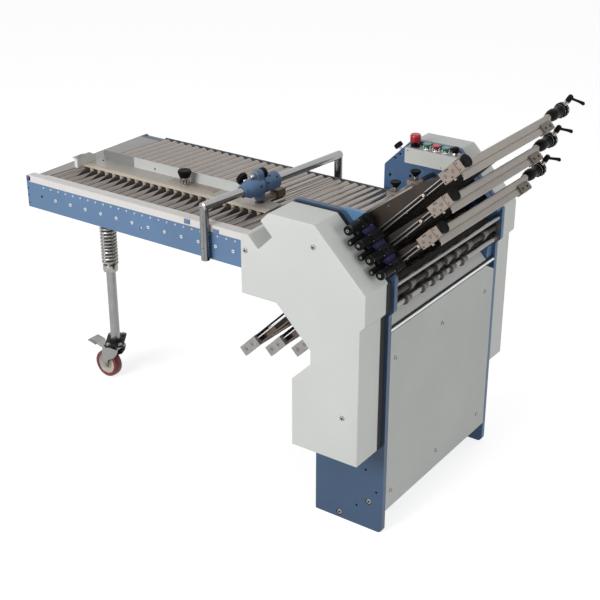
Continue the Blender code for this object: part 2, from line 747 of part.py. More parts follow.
def make_upper_fold_plates():
    outward = Vector((math.sin(FOLD_ANGLE), 0.0, math.cos(FOLD_ANGLE)))
    rail_half = END_RAIL_HALF
    for index in range(FOLD_PLATES):
        number = index + 1
        s = UPPER_ROW_S + (index + 0.5) * ROLLER_PITCH
        t_end = UPPER_END_T - index * END_STEP_T
        t_range = (UPPER_MOUTH_T, t_end - rail_half - FIT_GAP)
        plate, y_range = add_fold_body("upper_fold_plate_%d" % number, s, t_range, DARK_STEEL)

        rail = bmesh.new()
        block_y = (END_BLOCK_Y, PLATE_NEAR_Y - FIT_GAP)
        rail_y = (block_y[1] - WELD, INNER_WIDTH - block_y[1])
        add_prism(rail, rail_outline(s, t_end, 1.0), machine_y(rail_y[0]), machine_y(rail_y[1]))
        end_rail = place("upper_end_rail_%d" % number, rail, BEIGE)
        ends = bmesh.new()
        half_block = END_BLOCK_LENGTH / 2
        add_fold_block(
            ends,
            (s - END_BLOCK_DEPTH / 2, s + END_BLOCK_DEPTH / 2),
            block_y,
            (t_end - half_block, t_end + half_block),
        )
        grip_start = fold_point(s, rail_y[1] - OVERRUN, t_end)
        stations = [
            (0.0, GRIP_RADIUS),
            (OVERRUN + GRIP_LENGTH, GRIP_RADIUS),
            (OVERRUN + GRIP_LENGTH, CLAMP_RADIUS),
            (OVERRUN + GRIP_LENGTH + CLAMP_LENGTH, CLAMP_RADIUS),
        ]
        add_turned(ends, grip_start, (0.0, 1.0, 0.0), stations, ROLLER_SIDES)
        join(end_rail, ends, "ends")
        far_block = bmesh.new()
        add_fold_block(
            far_block,
            (s - END_RAIL_HALF, s + FAR_BLOCK_DROP),
            (INNER_WIDTH - FAR_BLOCK_INSET, INNER_WIDTH - FAR_BLOCK_INSET + FAR_BLOCK_WIDTH),
            (t_end - FAR_BLOCK_LENGTH, t_end + END_RAIL_HALF - WELD),
        )
        join(end_rail, far_block, "far_block")
        rods = bmesh.new()
        rod_length = t_end - GUIDE_ROD_INNER_T
        for inward in (GUIDE_ROD_Y, INNER_WIDTH - FAR_ROD_INSET):
            start = fold_point(s, inward, GUIDE_ROD_INNER_T)
            add_turned(rods, start, outward, [(0.0, GUIDE_ROD_RADIUS), (rod_length, GUIDE_ROD_RADIUS)], BOSS_SIDES)
        join(end_rail, rods, "rods")

        knob = bmesh.new()
        knob_start = fold_point(s, (block_y[0] + block_y[1]) / 2, t_end + half_block + FIT_GAP)
        add_turned(
            knob,
            knob_start,
            outward,
            [(0.0, STOP_KNOB_RADIUS), (STOP_KNOB_LENGTH, STOP_KNOB_RADIUS)],
            ROLLER_SIDES,
        )
        place("upper_stop_knob_%d" % number, knob, BLACK, origin=knob_start, smooth=True)

        clamp_centre = fold_point(s, rail_y[1] + GRIP_LENGTH + CLAMP_LENGTH / 2, t_end)
        make_clamp_lever("upper_clamp_lever_%d" % number, clamp_centre, LEVER_TURNS[index])


def make_clamp_lever(name, clamp_centre, turn):
    """A tightening lever on the clamp ring, leaning out, its arm turned about the hub."""
    hub_line = Vector((math.sin(LEVER_LEAN), 0.0, math.cos(LEVER_LEAN)))
    outward = Vector((math.cos(LEVER_LEAN), 0.0, -math.sin(LEVER_LEAN)))
    base = clamp_centre + hub_line * (CLAMP_RADIUS + FIT_GAP)
    hub = bmesh.new()
    add_turned(hub, base, hub_line, [(0.0, LEVER_HUB_RADIUS), (LEVER_HUB_HEIGHT, LEVER_HUB_RADIUS)], BOSS_SIDES)
    lever = place(name, hub, BLACK, origin=base, smooth=True)
    arm = bmesh.new()
    arm_start = base + hub_line * (LEVER_HUB_HEIGHT - LEVER_ARM_SINK)
    level = outward * math.cos(turn) + Vector((0.0, math.sin(turn), 0.0))
    arm_run = level * LEVER_ARM_LENGTH + hub_line * LEVER_TIP_RISE
    add_turned(arm, arm_start, arm_run, [(0.0, LEVER_ARM_RADIUS), (arm_run.length, LEVER_ARM_RADIUS)], BOSS_SIDES)
    join(lever, arm, "arm")


def make_lower_fold_plates():
    rail_half = END_RAIL_HALF
    half_block = END_BLOCK_LENGTH / 2
    for index in range(FOLD_PLATES):
        s = UPPER_ROW_S + (index + 1) * ROLLER_PITCH
        t_end = -(LOWER_END_T - index * END_STEP_T)
        name = "lower_fold_plate_%d" % (index + 1)
        plate, y_range = add_fold_body(name, s, (t_end + rail_half, -LOWER_MOUTH_T), DARK_STEEL)
        rail = bmesh.new()
        rail_y = y_range
        add_fold_block(
            rail,
            (s - END_RAIL_DEPTH / 2, s + END_RAIL_DEPTH / 2),
            (rail_y[0] - WELD, rail_y[1] + WELD),
            (t_end - rail_half, t_end + END_RAIL_LIP),
        )
        join(plate, rail, "rail")
        runners = bmesh.new()
        half_body = PLATE_BODY / 2 - FIT_GAP
        for near, far in ((FIT_GAP, y_range[0] + WELD), (y_range[1] - WELD, INNER_WIDTH - FIT_GAP)):
            add_fold_block(runners, (s - half_body, s + half_body), (near, far), RUNNER_T)
        join(plate, runners, "runners")
        blocks = bmesh.new()
        s_range = (s - END_BLOCK_DEPTH / 2, s + END_BLOCK_DEPTH / 2)
        t_range = (t_end - half_block, t_end + half_block)
        near_y = (LOWER_BLOCK_Y, rail_y[0] - WELD / 2)
        far_y = (rail_y[1] + WELD / 2, INNER_WIDTH - LOWER_BLOCK_Y)
        add_fold_block(blocks, s_range, near_y, t_range)
        add_fold_block(blocks, s_range, far_y, t_range)
        join(plate, blocks, "end_blocks")


def make_bearing_blocks():
    """Roller pressure adjusters in steps down the slanted edge, with caps over the cover's flank."""
    half = BLOCK_WIDTH / 2
    last_s = BLOCK_FIRST_S + (BLOCK_COUNT - 1) * ROLLER_PITCH
    y_range = (-BLOCK_OUT_Y, BLOCK_IN_Y)
    bar = bmesh.new()
    add_fold_block(bar, (BLOCK_FIRST_S - half, last_s + half), y_range, (FIT_GAP, BLOCK_BAR))
    blocks = place("near_bearing_blocks", bar, BLACK)
    steps = bmesh.new()
    caps = bmesh.new()
    for index in range(BLOCK_COUNT):
        s = BLOCK_FIRST_S + index * ROLLER_PITCH
        y_step = (y_range[0] + WELD, y_range[1] - WELD)
        add_fold_block(steps, (s - half + WELD, s + half - WELD), y_step, (BLOCK_BAR / 2, BLOCK_HEIGHT))
        start = fold_point(s, -BLOCK_OUT_Y + OVERRUN, BLOCK_BAR + CAP_RADIUS)
        length = CAP_OUT_Y - BLOCK_OUT_Y + OVERRUN
        add_turned(caps, start, (0.0, -1.0, 0.0), [(0.0, CAP_RADIUS), (length, CAP_RADIUS)], BOSS_SIDES)
    join(blocks, steps, "steps")
    join(blocks, caps, "caps")


def make_hold_down():
    low, high = inner_span()
    shaft = bmesh.new()
    add_turned(
        shaft,
        (-HOLD_X, low, HOLD_Z),
        (0.0, 1.0, 0.0),
        [(0.0, HOLD_SHAFT_RADIUS), (high - low, HOLD_SHAFT_RADIUS)],
        BOSS_SIDES,
    )
    hold_down = place("infeed_hold_down", shaft, BEIGE)
    blocks = bmesh.new()
    knobs = bmesh.new()
    for inset in HOLD_BLOCK_INSETS:
        y = machine_y(INNER_WIDTH - inset)
        half_x, half_y, half_z = HOLD_BLOCK_WIDTH / 2, HOLD_BLOCK_DEPTH / 2, HOLD_BLOCK_HEIGHT / 2
        add_block(blocks, (-HOLD_X - half_x, y - half_y, HOLD_Z - half_z), (-HOLD_X + half_x, y + half_y, HOLD_Z + half_z))
        stations = [
            (0.0, HOLD_POST_RADIUS),
            (half_z + HOLD_POST_HEIGHT, HOLD_POST_RADIUS),
            (half_z + HOLD_POST_HEIGHT, HOLD_KNOB_RADIUS),
            (half_z + HOLD_POST_HEIGHT + HOLD_KNOB_HEIGHT, HOLD_KNOB_RADIUS),
        ]
        add_turned(knobs, (-HOLD_X, y, HOLD_Z), (0.0, 0.0, 1.0), stations, BOSS_SIDES)
    join(hold_down, blocks, "blocks")
    join(hold_down, knobs, "knobs")


def make_drive():
    low = machine_y(FIT_GAP)
    half = MOTOR_FLANGE / 2
    flange = bmesh.new()
    add_block(
        flange,
        (MOTOR_X - half, low, MOTOR_Z - half),
        (MOTOR_X + half, low + MOTOR_FLANGE_THICK, MOTOR_Z + half),
    )
    motor = place("drive_motor", flange, BLACK)
    housing = bmesh.new()
    start = (MOTOR_X, low + MOTOR_FLANGE_THICK / 2, MOTOR_Z)
    add_turned(housing, start, (0.0, 1.0, 0.0), [(0.0, MOTOR_RADIUS), (MOTOR_LENGTH, MOTOR_RADIUS)], ROLLER_SIDES)
    join(motor, housing, "housing")
    bore = bmesh.new()
    radius = hole_radius(MOTOR_SHAFT, FIT_GAP, ROLLER_SIDES)
    depth = OVERRUN + MOTOR_SHAFT_REACH + FIT_GAP
    add_turned(bore, (MOTOR_X, low - OVERRUN, MOTOR_Z), (0.0, 1.0, 0.0), [(0.0, radius), (depth, radius)], ROLLER_SIDES)
    cut(motor, bore, "bore")

    pulley_y = machine_y(-(PLATE_THICK + PULLEY_FACE_Y + PULLEY_WIDTH))
    shaft_end = low + MOTOR_SHAFT_REACH - pulley_y
    pulley = bmesh.new()
    stations = [
        (0.0, MOTOR_PULLEY_RADIUS),
        (PULLEY_WIDTH, MOTOR_PULLEY_RADIUS),
        (PULLEY_WIDTH, MOTOR_SHAFT),
        (shaft_end, MOTOR_SHAFT),
    ]
    start = (MOTOR_X, pulley_y, MOTOR_Z)
    add_turned(pulley, start, (0.0, 1.0, 0.0), stations, ROLLER_SIDES)
    place("motor_pulley", pulley, STEEL, origin=start, smooth=True)
    make_belt(pulley_y + PULLEY_WIDTH / 2)


def belt_outline(radius_low, low, radius_high, high):
    """Closed outline of a belt round two pulleys, one above the other, counter-clockwise."""
    run = Vector((high[0] - low[0], high[1] - low[1]))
    heading = math.atan2(run.y, run.x)
    lean = math.acos((radius_low - radius_high) / run.length)
    points = []
    for centre, radius, start, end in (
        (high, radius_high, heading - lean, heading + lean),
        (low, radius_low, heading + lean, heading - lean + 2 * math.pi),
    ):
        for step in range(BELT_ARC_STEPS + 1):
            angle = start + (end - start) * step / BELT_ARC_STEPS
            points.append((centre[0] + radius * math.cos(angle), centre[1] + radius * math.sin(angle)))
    return points


def make_belt(middle_y):
    """A flat belt from the motor pulley up to the driven roller's pulley."""
    low = (MOTOR_X, MOTOR_Z)
    high = fold_xz(*roller_places()[DRIVEN_ROLLER - 1])
    clear = FIT_GAP / math.cos(math.pi / BELT_ARC_STEPS)
    inner_low = hole_radius(MOTOR_PULLEY_RADIUS, clear, BELT_ARC_STEPS * 2)
    inner_high = hole_radius(ROLLER_PULLEY_RADIUS, clear, BELT_ARC_STEPS * 2)
    inner = belt_outline(inner_low, low, inner_high, high)
    outer = belt_outline(inner_low + BELT_THICK, low, inner_high + BELT_THICK, high)
    shape = bmesh.new()
    near, far = middle_y - BELT_WIDTH / 2, middle_y + BELT_WIDTH / 2
    rings = []
    for outline, level in ((inner, near), (outer, near), (outer, far), (inner, far)):
        rings.append([shape.verts.new((x, level, z)) for x, z in outline])
    for index in range(4):
        first, second = rings[index], rings[(index + 1) % 4]
        for at in range(len(first)):
            after = (at + 1) % len(first)
            shape.faces.new((first[at], first[after], second[after], second[at]))
    place("drive_belt", shape, BLACK)


def make_tie_beam():
    low, high = inner_span()
    outline = [
        (-TIE_BACK_X, TIE_LOW),
        (-TIE_FRONT_X, TIE_LOW),
        (-TIE_FRONT_X, TIE_HIGH),
        (-TIE_FRONT_X - TIE_WALL, TIE_HIGH),
        (-TIE_FRONT_X - TIE_WALL, TIE_LOW + TIE_WALL),
        (-TIE_BACK_X + TIE_WALL, TIE_LOW + TIE_WALL),
        (-TIE_BACK_X + TIE_WALL, TIE_HIGH),
        (-TIE_BACK_X, TIE_HIGH),
    ]
    beam = bmesh.new()
    add_prism(beam, outline, low, high)
    place("base_tie_beam", beam, BLUE)


def make_controls():
    """Control box on the far plate's inner face, with the push buttons sunk in its top."""
    back = machine_y(INNER_WIDTH - FIT_GAP)
    front = back - BOX_DEPTH
    slant = BOX_TOP - BOX_LOW
    outline = [
        (-BOX_LEFT_X, BOX_LOW),
        (-BOX_RIGHT_X - slant, BOX_LOW),
        (-BOX_RIGHT_X, BOX_TOP),
        (-BOX_LEFT_X, BOX_TOP),
    ]
    case = bmesh.new()
    add_prism(case, outline, front, back)
    box = place("control_box", case, PALE)
    bezels = bmesh.new()
    bores = bmesh.new()
    stem_bore = hole_radius(BUTTON_STEM_RADIUS, FIT_GAP, BOSS_SIDES)
    up = Vector((0.0, 0.0, 1.0))
    y = back - BUTTON_Y
    for name, x in BUTTON_X.items():
        is_stop = name == "emergency_stop"
        is_knob = name == "speed_knob"
        height = STOP_BASE_HEIGHT if is_stop else BUTTON_BEZEL_HEIGHT
        sink = BOX_TOP - WELD
        add_turned(
            bezels,
            (-x, y, sink),
            up,
            [(0.0, BUTTON_BEZEL_RADIUS), (BOX_TOP + height - sink, BUTTON_BEZEL_RADIUS)],
            BOSS_SIDES,
        )
        bezel_top = BOX_TOP + height
        bore_low = bezel_top - BORE_DEPTH
        add_turned(bores, (-x, y, bore_low), up, [(0.0, stem_bore), (BORE_DEPTH + OVERRUN, stem_bore)], BOSS_SIDES)
        radius, cap_height, finish = BUTTON_CAP_RADIUS, BUTTON_CAP_HEIGHT, GREEN
        lift = BUTTON_LIFT
        if is_stop:
            radius, cap_height, finish = STOP_CAP_RADIUS, STOP_CAP_HEIGHT, RED
        elif name == "stop_button":
            finish = RED
        elif is_knob:
            radius, cap_height, finish = KNOB_RADIUS, KNOB_HEIGHT, BLACK
            lift = FIT_GAP
        cap_start = BUTTON_STEM_LENGTH + lift
        stations = [
            (0.0, BUTTON_STEM_RADIUS),
            (cap_start, BUTTON_STEM_RADIUS),
            (cap_start, radius),
            (cap_start + cap_height, radius),
        ]
        stem = (-x, y, bezel_top - BUTTON_STEM_LENGTH)
        button = bmesh.new()
        add_turned(button, stem, up, stations, BOSS_SIDES)
        place(name, button, finish, origin=stem, smooth=True)
    join(box, bezels, "bezels")
    cut(box, bores, "bores")


def skewed(x, inward, angle=SKEW_ANGLE):
    """X of a line that starts at x on the near rail and leans towards the fold rollers."""
    return x + (inward - RAIL_FACE_Y) * math.tan(angle)


def make_rails():
    for name in ("near_rail", "far_rail"):
        distances = (RAIL_FACE_Y, RAIL_FACE_Y + RAIL_WALL, RAIL_FACE_Y + RAIL_FLANGE, FIT_GAP)
        if name == "far_rail":
            distances = [INNER_WIDTH - distance for distance in distances]
        face, web, lip, pad_outer = [machine_y(distance) for distance in distances]
        outline = [
            (face, RAIL_LOW),
            (face, RAIL_TOP),
            (lip, RAIL_TOP),
            (lip, RAIL_TOP - RAIL_WALL),
            (web, RAIL_TOP - RAIL_WALL),
            (web, RAIL_LOW + RAIL_WALL),
            (lip, RAIL_LOW + RAIL_WALL),
            (lip, RAIL_LOW),
        ]
        shape = bmesh.new()
        add_prism(shape, outline, -RAIL_OUTER_X + FIT_GAP, -RAIL_INNER_X, axis="x")
        rail = place(name, shape, BLUE)
        pad = bmesh.new()
        low_y, high_y = sorted(((face + web) / 2, pad_outer))
        add_block(
            pad,
            (-RAIL_PAD_X, low_y, REAR_LOW),
            (-RAIL_INNER_X - OVERRUN, high_y, RAIL_TOP - RAIL_WALL),
        )
        join(rail, pad, "pad")


def make_table_end():
    low, high = machine_y(RAIL_FACE_Y), machine_y(INNER_WIDTH - RAIL_FACE_Y)
    beam = bmesh.new()
    deck_top = STRIP_LOW + DECK_SHEET
    add_block(beam, (-RAIL_OUTER_X - BEAM_THICK, low, RAIL_LOW), (-RAIL_OUTER_X, high, deck_top))
    end_beam = place("table_end_beam", beam, PANEL_GREY)
    deck = bmesh.new()
    edge_x = -TABLE_FIRST_X - TABLE_ROLLER_RADIUS - DECK_EDGE_GAP
    near, far = STRIP_Y + STRIP_THICK + FIT_GAP, INNER_WIDTH - STRIP_Y - STRIP_THICK - FIT_GAP
    outline = [
        (-RAIL_OUTER_X - BEAM_THICK / 2, machine_y(near)),
        (skewed(edge_x, near), machine_y(near)),
        (skewed(edge_x, far), machine_y(far)),
        (-RAIL_OUTER_X - BEAM_THICK / 2, machine_y(far)),
    ]
    add_prism(deck, outline, STRIP_LOW, deck_top, axis="z")
    join(end_beam, deck, "deck")


def make_top_strip():
    strip = bmesh.new()
    add_block(
        strip,
        (-RAIL_OUTER_X + FIT_GAP, machine_y(RAIL_FACE_Y), STRIP_LOW),
        (-RAIL_INNER_X, machine_y(TOP_STRIP_INNER_Y), STRIP_TOP),
    )
    place("near_top_strip", strip, PALE)


def make_roller_bank():
    """All table rollers with the two bearing strips that carry their journals."""
    strips = bmesh.new()
    for inward in (STRIP_Y, INNER_WIDTH - STRIP_Y - STRIP_THICK):
        add_block(
            strips,
            (-RAIL_OUTER_X + FIT_GAP, machine_y(inward), STRIP_LOW),
            (-RAIL_INNER_X, machine_y(inward + STRIP_THICK), STRIP_TOP),
        )
    bank = place("roller_bank", strips, STEEL)
    rollers = bmesh.new()
    across = Vector((math.sin(SKEW_ANGLE), math.cos(SKEW_ANGLE), 0.0))
    stretch = 1 / math.cos(SKEW_ANGLE)
    sunk = STRIP_Y + STRIP_THICK / 2
    near = (TABLE_ROLLER_NEAR_Y - sunk) * stretch
    far = (INNER_WIDTH - TABLE_ROLLER_FAR_INSET - sunk - STRIP_THICK) * stretch
    total = (INNER_WIDTH - 2 * sunk) * stretch
    stations = [
        (0.0, TABLE_JOURNAL_RADIUS),
        (near, TABLE_JOURNAL_RADIUS),
        (near, TABLE_ROLLER_RADIUS),
        (far, TABLE_ROLLER_RADIUS),
        (far, TABLE_JOURNAL_RADIUS),
        (total, TABLE_JOURNAL_RADIUS),
    ]
    for index in range(TABLE_ROLLERS):
        x = skewed(-TABLE_FIRST_X + index * TABLE_PITCH, sunk)
        add_turned(rollers, (x, machine_y(sunk), TABLE_ROLLER_Z), across, stations, TABLE_ROLLER_SIDES)
    join(bank, rollers, "rollers")


def make_side_guide():
    top_of_rollers = TABLE_ROLLER_Z + TABLE_ROLLER_RADIUS
    base_z = top_of_rollers + GUIDE_LIFT
    flange_top = base_z + GUIDE_SHEET
    guide_top = base_z + GUIDE_WALL_HEIGHT
    near, wall = machine_y(GUIDE_NEAR_Y), machine_y(GUIDE_WALL_Y)
    flange = bmesh.new()
    add_block(flange, (-GUIDE_LEFT_X, near, base_z), (-GUIDE_RIGHT_X, wall, flange_top))
    guide = place("side_guide", flange, PALE)
    upright = bmesh.new()
    inside = GUIDE_SHEET / 2
    add_block(
        upright,
        (-GUIDE_LEFT_X + inside, wall - GUIDE_SHEET, base_z + inside),
        (-GUIDE_WALL_RIGHT_X, wall + inside, guide_top),
    )
    join(guide, upright, "wall")
    tab = bmesh.new()
    add_block(
        tab,
        (-GUIDE_LEFT_X - inside, near + inside, base_z + inside),
        (-GUIDE_LEFT_X + GUIDE_SHEET, machine_y(GUIDE_TAB_Y), guide_top - inside),
    )
    join(guide, tab, "end_tab")
    knob_at = (-GUIDE_KNOB_X, machine_y(GUIDE_KNOB_Y), flange_top + FIT_GAP)
    stations = [
        (0.0, GUIDE_POST_RADIUS),
        (GUIDE_POST_HEIGHT, GUIDE_POST_RADIUS),
        (GUIDE_POST_HEIGHT, GUIDE_KNOB_RADIUS),
        (GUIDE_POST_HEIGHT + GUIDE_KNOB_HEIGHT, GUIDE_KNOB_RADIUS),
    ]
    knob = bmesh.new()
    add_turned(knob, knob_at, (0.0, 0.0, 1.0), stations, ROLLER_SIDES)
    place("guide_knob", knob, BLACK, origin=knob_at, smooth=True)
    return flange_top


def bridge_point(inward):
    """A place on the bridge bar's axis."""
    return Vector((skewed(-BRIDGE_X, inward, BRIDGE_SKEW_ANGLE), machine_y(inward), BRIDGE_Z))


def make_bridge():
    across = Vector((math.sin(BRIDGE_SKEW_ANGLE), math.cos(BRIDGE_SKEW_ANGLE), 0.0))
    post_y = RAIL_FACE_Y - FIT_GAP - BRIDGE_POST_RADIUS
    start = bridge_point(post_y - BRIDGE_OVERHANG)
    end = bridge_point(INNER_WIDTH - post_y + BRIDGE_OVERHANG)
    bar = bmesh.new()
    add_turned(bar, start, across, [(0.0, BRIDGE_BAR_RADIUS), ((end - start).length, BRIDGE_BAR_RADIUS)], BRIDGE_SIDES)
    bridge = place("bridge_bar", bar, CHROME, smooth=True)
    posts = bmesh.new()
    for inward in (post_y, INNER_WIDTH - post_y):
        foot = bridge_point(inward)
        foot.z = RAIL_LOW
        height = BRIDGE_Z - RAIL_LOW
        radius = BRIDGE_POST_RADIUS - FIT_GAP
        add_turned(posts, foot, (0.0, 0.0, 1.0), [(0.0, radius), (height, radius)], BRIDGE_SIDES)
    join(bridge, posts, "posts")


def make_bridge_clamp(guide_top):
    across = Vector((math.sin(BRIDGE_SKEW_ANGLE), math.cos(BRIDGE_SKEW_ANGLE), 0.0))
    start, end = bridge_point(CLAMP_NEAR_Y), bridge_point(CLAMP_FAR_Y)
    length = (end - start).length
    first, second, third, last = (share * length for share in CLAMP_SHOULDER_SHARES)
    body = bmesh.new()
    stations = [
        (first, CLAMP_NOSE_RADIUS),
        (second, CLAMP_BODY_RADIUS),
        (third, CLAMP_BODY_RADIUS),
        (last, CLAMP_BODY_RADIUS),
    ]
    add_turned(body, start, across, stations, BRIDGE_SIDES)
    clamp = place("bridge_clamp", body, BLUE)
    bosses = bmesh.new()
    up_base = bridge_point(UP_BOSS_Y)
    add_turned(bosses, up_base, (0.0, 0.0, 1.0), [(0.0, BOSS_UP_RADIUS), (BOSS_TOP, BOSS_UP_RADIUS)], BOSS_SIDES)
    foot_top = bridge_point(FOOT_Y)
    foot_base = foot_top.copy()
    foot_base.z = guide_top + FIT_GAP
    foot_height = foot_top.z - foot_base.z - FIT_GAP
    add_turned(bosses, foot_base, (0.0, 0.0, 1.0), [(0.0, FOOT_RADIUS), (foot_height, FOOT_RADIUS)], ROLLER_SIDES)
    join(clamp, bosses, "bosses")
    bore = bmesh.new()
    radius = hole_radius(BRIDGE_BAR_RADIUS, CLAMP_BORE_GAP, BRIDGE_SIDES)
    bore_start = start - across * OVERRUN
    add_turned(bore, bore_start, across, [(0.0, radius), (length + 2 * OVERRUN, radius)], BRIDGE_SIDES)
    cut(clamp, bore, "bore")

    level = Vector((-math.cos(BRIDGE_SKEW_ANGLE), math.sin(BRIDGE_SKEW_ANGLE), 0.0))
    outward = level * math.cos(CLAMP_KNOB_TILT) + Vector((0.0, 0.0, math.sin(CLAMP_KNOB_TILT)))
    knob_at = bridge_point(CLAMP_KNOB_Y) + outward * (CLAMP_BODY_RADIUS + FIT_GAP)
    stations = [
        (0.0, CLAMP_KNOB_STEM),
        (CLAMP_KNOB_STEM_LENGTH, CLAMP_KNOB_STEM),
        (CLAMP_KNOB_STEM_LENGTH, CLAMP_KNOB_RADIUS),
        (CLAMP_KNOB_STEM_LENGTH + CLAMP_KNOB_LENGTH, CLAMP_KNOB_RADIUS),
    ]
    knob = bmesh.new()
    add_turned(knob, knob_at, outward, stations, ROLLER_SIDES)
    place("clamp_knob", knob, BLACK, origin=knob_at, smooth=True)


def make_leg():
    x, y = -LEG_X, machine_y(LEG_Y)
    up = Vector((0.0, 0.0, 1.0))
    lip = RAIL_FACE_Y + RAIL_WALL + FIT_GAP
    beam = bmesh.new()
    add_block(
        beam,
        (x - SOCKET_BEAM_HALF, machine_y(lip), SOCKET_BEAM_LOW),
        (x + SOCKET_BEAM_HALF, machine_y(INNER_WIDTH - lip), SOCKET_BEAM_TOP),
    )
    socket = place("leg_socket", beam, BLUE)
    sleeve = bmesh.new()
    sleeve_top = SOCKET_BEAM_TOP - WELD
    add_turned(sleeve, (x, y, SOCKET_LOW), up, [(0.0, SOCKET_RADIUS), (sleeve_top - SOCKET_LOW, SOCKET_RADIUS)], ROLLER_SIDES)
    join(socket, sleeve, "sleeve")
    bore = bmesh.new()
    radius = hole_radius(TUBE_RADIUS, TUBE_CLEAR, ROLLER_SIDES)
    bore_length = SOCKET_BEAM_LOW - SOCKET_LOW + OVERRUN
    add_turned(bore, (x, y, SOCKET_LOW - OVERRUN), up, [(0.0, radius), (bore_length, radius)], ROLLER_SIDES)
    cut(socket, bore, "bore")

    tube = bmesh.new()
    plate_low = CASTER_PLATE_TOP - CASTER_PLATE_THICK
    stations = [
        (0.0, TUBE_RADIUS),
        (COLLAR_BOTTOM - CASTER_PLATE_TOP, TUBE_RADIUS),
        (COLLAR_BOTTOM - CASTER_PLATE_TOP, LEG_COLLAR_RADIUS),
        (SPRING_SEAT - CASTER_PLATE_TOP, LEG_COLLAR_RADIUS),
        (SPRING_SEAT - CASTER_PLATE_TOP, TUBE_RADIUS),
        (TUBE_TOP - CASTER_PLATE_TOP, TUBE_RADIUS),
    ]
    base_z = CASTER_PLATE_TOP - CASTER_PLATE_THICK / 2
    stations = [(0.0, TUBE_RADIUS)] + [(along + CASTER_PLATE_THICK / 2, wide) for along, wide in stations[1:]]
    add_turned(tube, (x, y, base_z), up, stations, ROLLER_SIDES)
    leg = place("leg_tube", tube, STEEL, origin=(x, y, base_z), smooth=True)
    plate = bmesh.new()
    half_width, half_length = CASTER_PLATE_WIDTH / 2, CASTER_PLATE_LENGTH / 2
    add_block(plate, (-half_width, -half_length, plate_low), (half_width, half_length, CASTER_PLATE_TOP))
    turn = Matrix.Translation((x, y, 0.0)) @ Matrix.Rotation(CASTER_PLATE_TURN, 4, "Z")
    bmesh.ops.transform(plate, matrix=turn, verts=plate.verts)
    join(leg, plate, "foot_plate")
    make_spring(x, y)
    make_caster(x, y, plate_low)


def spring_points(x, y):
    """Centre line of the spring wire: a short upright start, the curls, and an upright end."""
    low = SPRING_SEAT + FIT_GAP
    high = SOCKET_BEAM_LOW - FIT_GAP
    lead = 2 * SPRING_WIRE
    coil_low, coil_high = low + lead, high - lead
    steps = SPRING_CURLS * CURL_POINTS
    points = [Vector((x + SPRING_RADIUS, y, low))]
    for step in range(steps + 1):
        angle = 2 * math.pi * step / CURL_POINTS
        z = coil_low + (coil_high - coil_low) * step / steps
        points.append(Vector((x + SPRING_RADIUS * math.cos(angle), y + SPRING_RADIUS * math.sin(angle), z)))
    points.append(Vector((x + SPRING_RADIUS, y, high)))
    return points


def make_spring(x, y):
    points = spring_points(x, y)
    curve = bpy.data.curves.new("leg_spring", "CURVE")
    curve.dimensions = "3D"
    curve.bevel_depth = SPRING_WIRE
    curve.bevel_resolution = 1
    curve.use_fill_caps = True
    spline = curve.splines.new("POLY")
    spline.points.add(len(points) - 1)
    for point, place_at in zip(spline.points, points):
        point.co = (place_at.x, place_at.y, place_at.z, 1.0)
    item = bpy.data.objects.new("leg_spring", curve)
    bpy.context.collection.objects.link(item)
    item.location = (FRONT_X, 0.0, 0.0)
    paint(item, STEEL)
    apart = CURL_POINTS - 2
    least = min(
        (points[first] - points[second]).length
        for first in range(len(points))
        for second in range(first + apart, len(points))
    )
    print("leg spring: least gap to itself %.4f m" % (least - 2 * SPRING_WIRE))


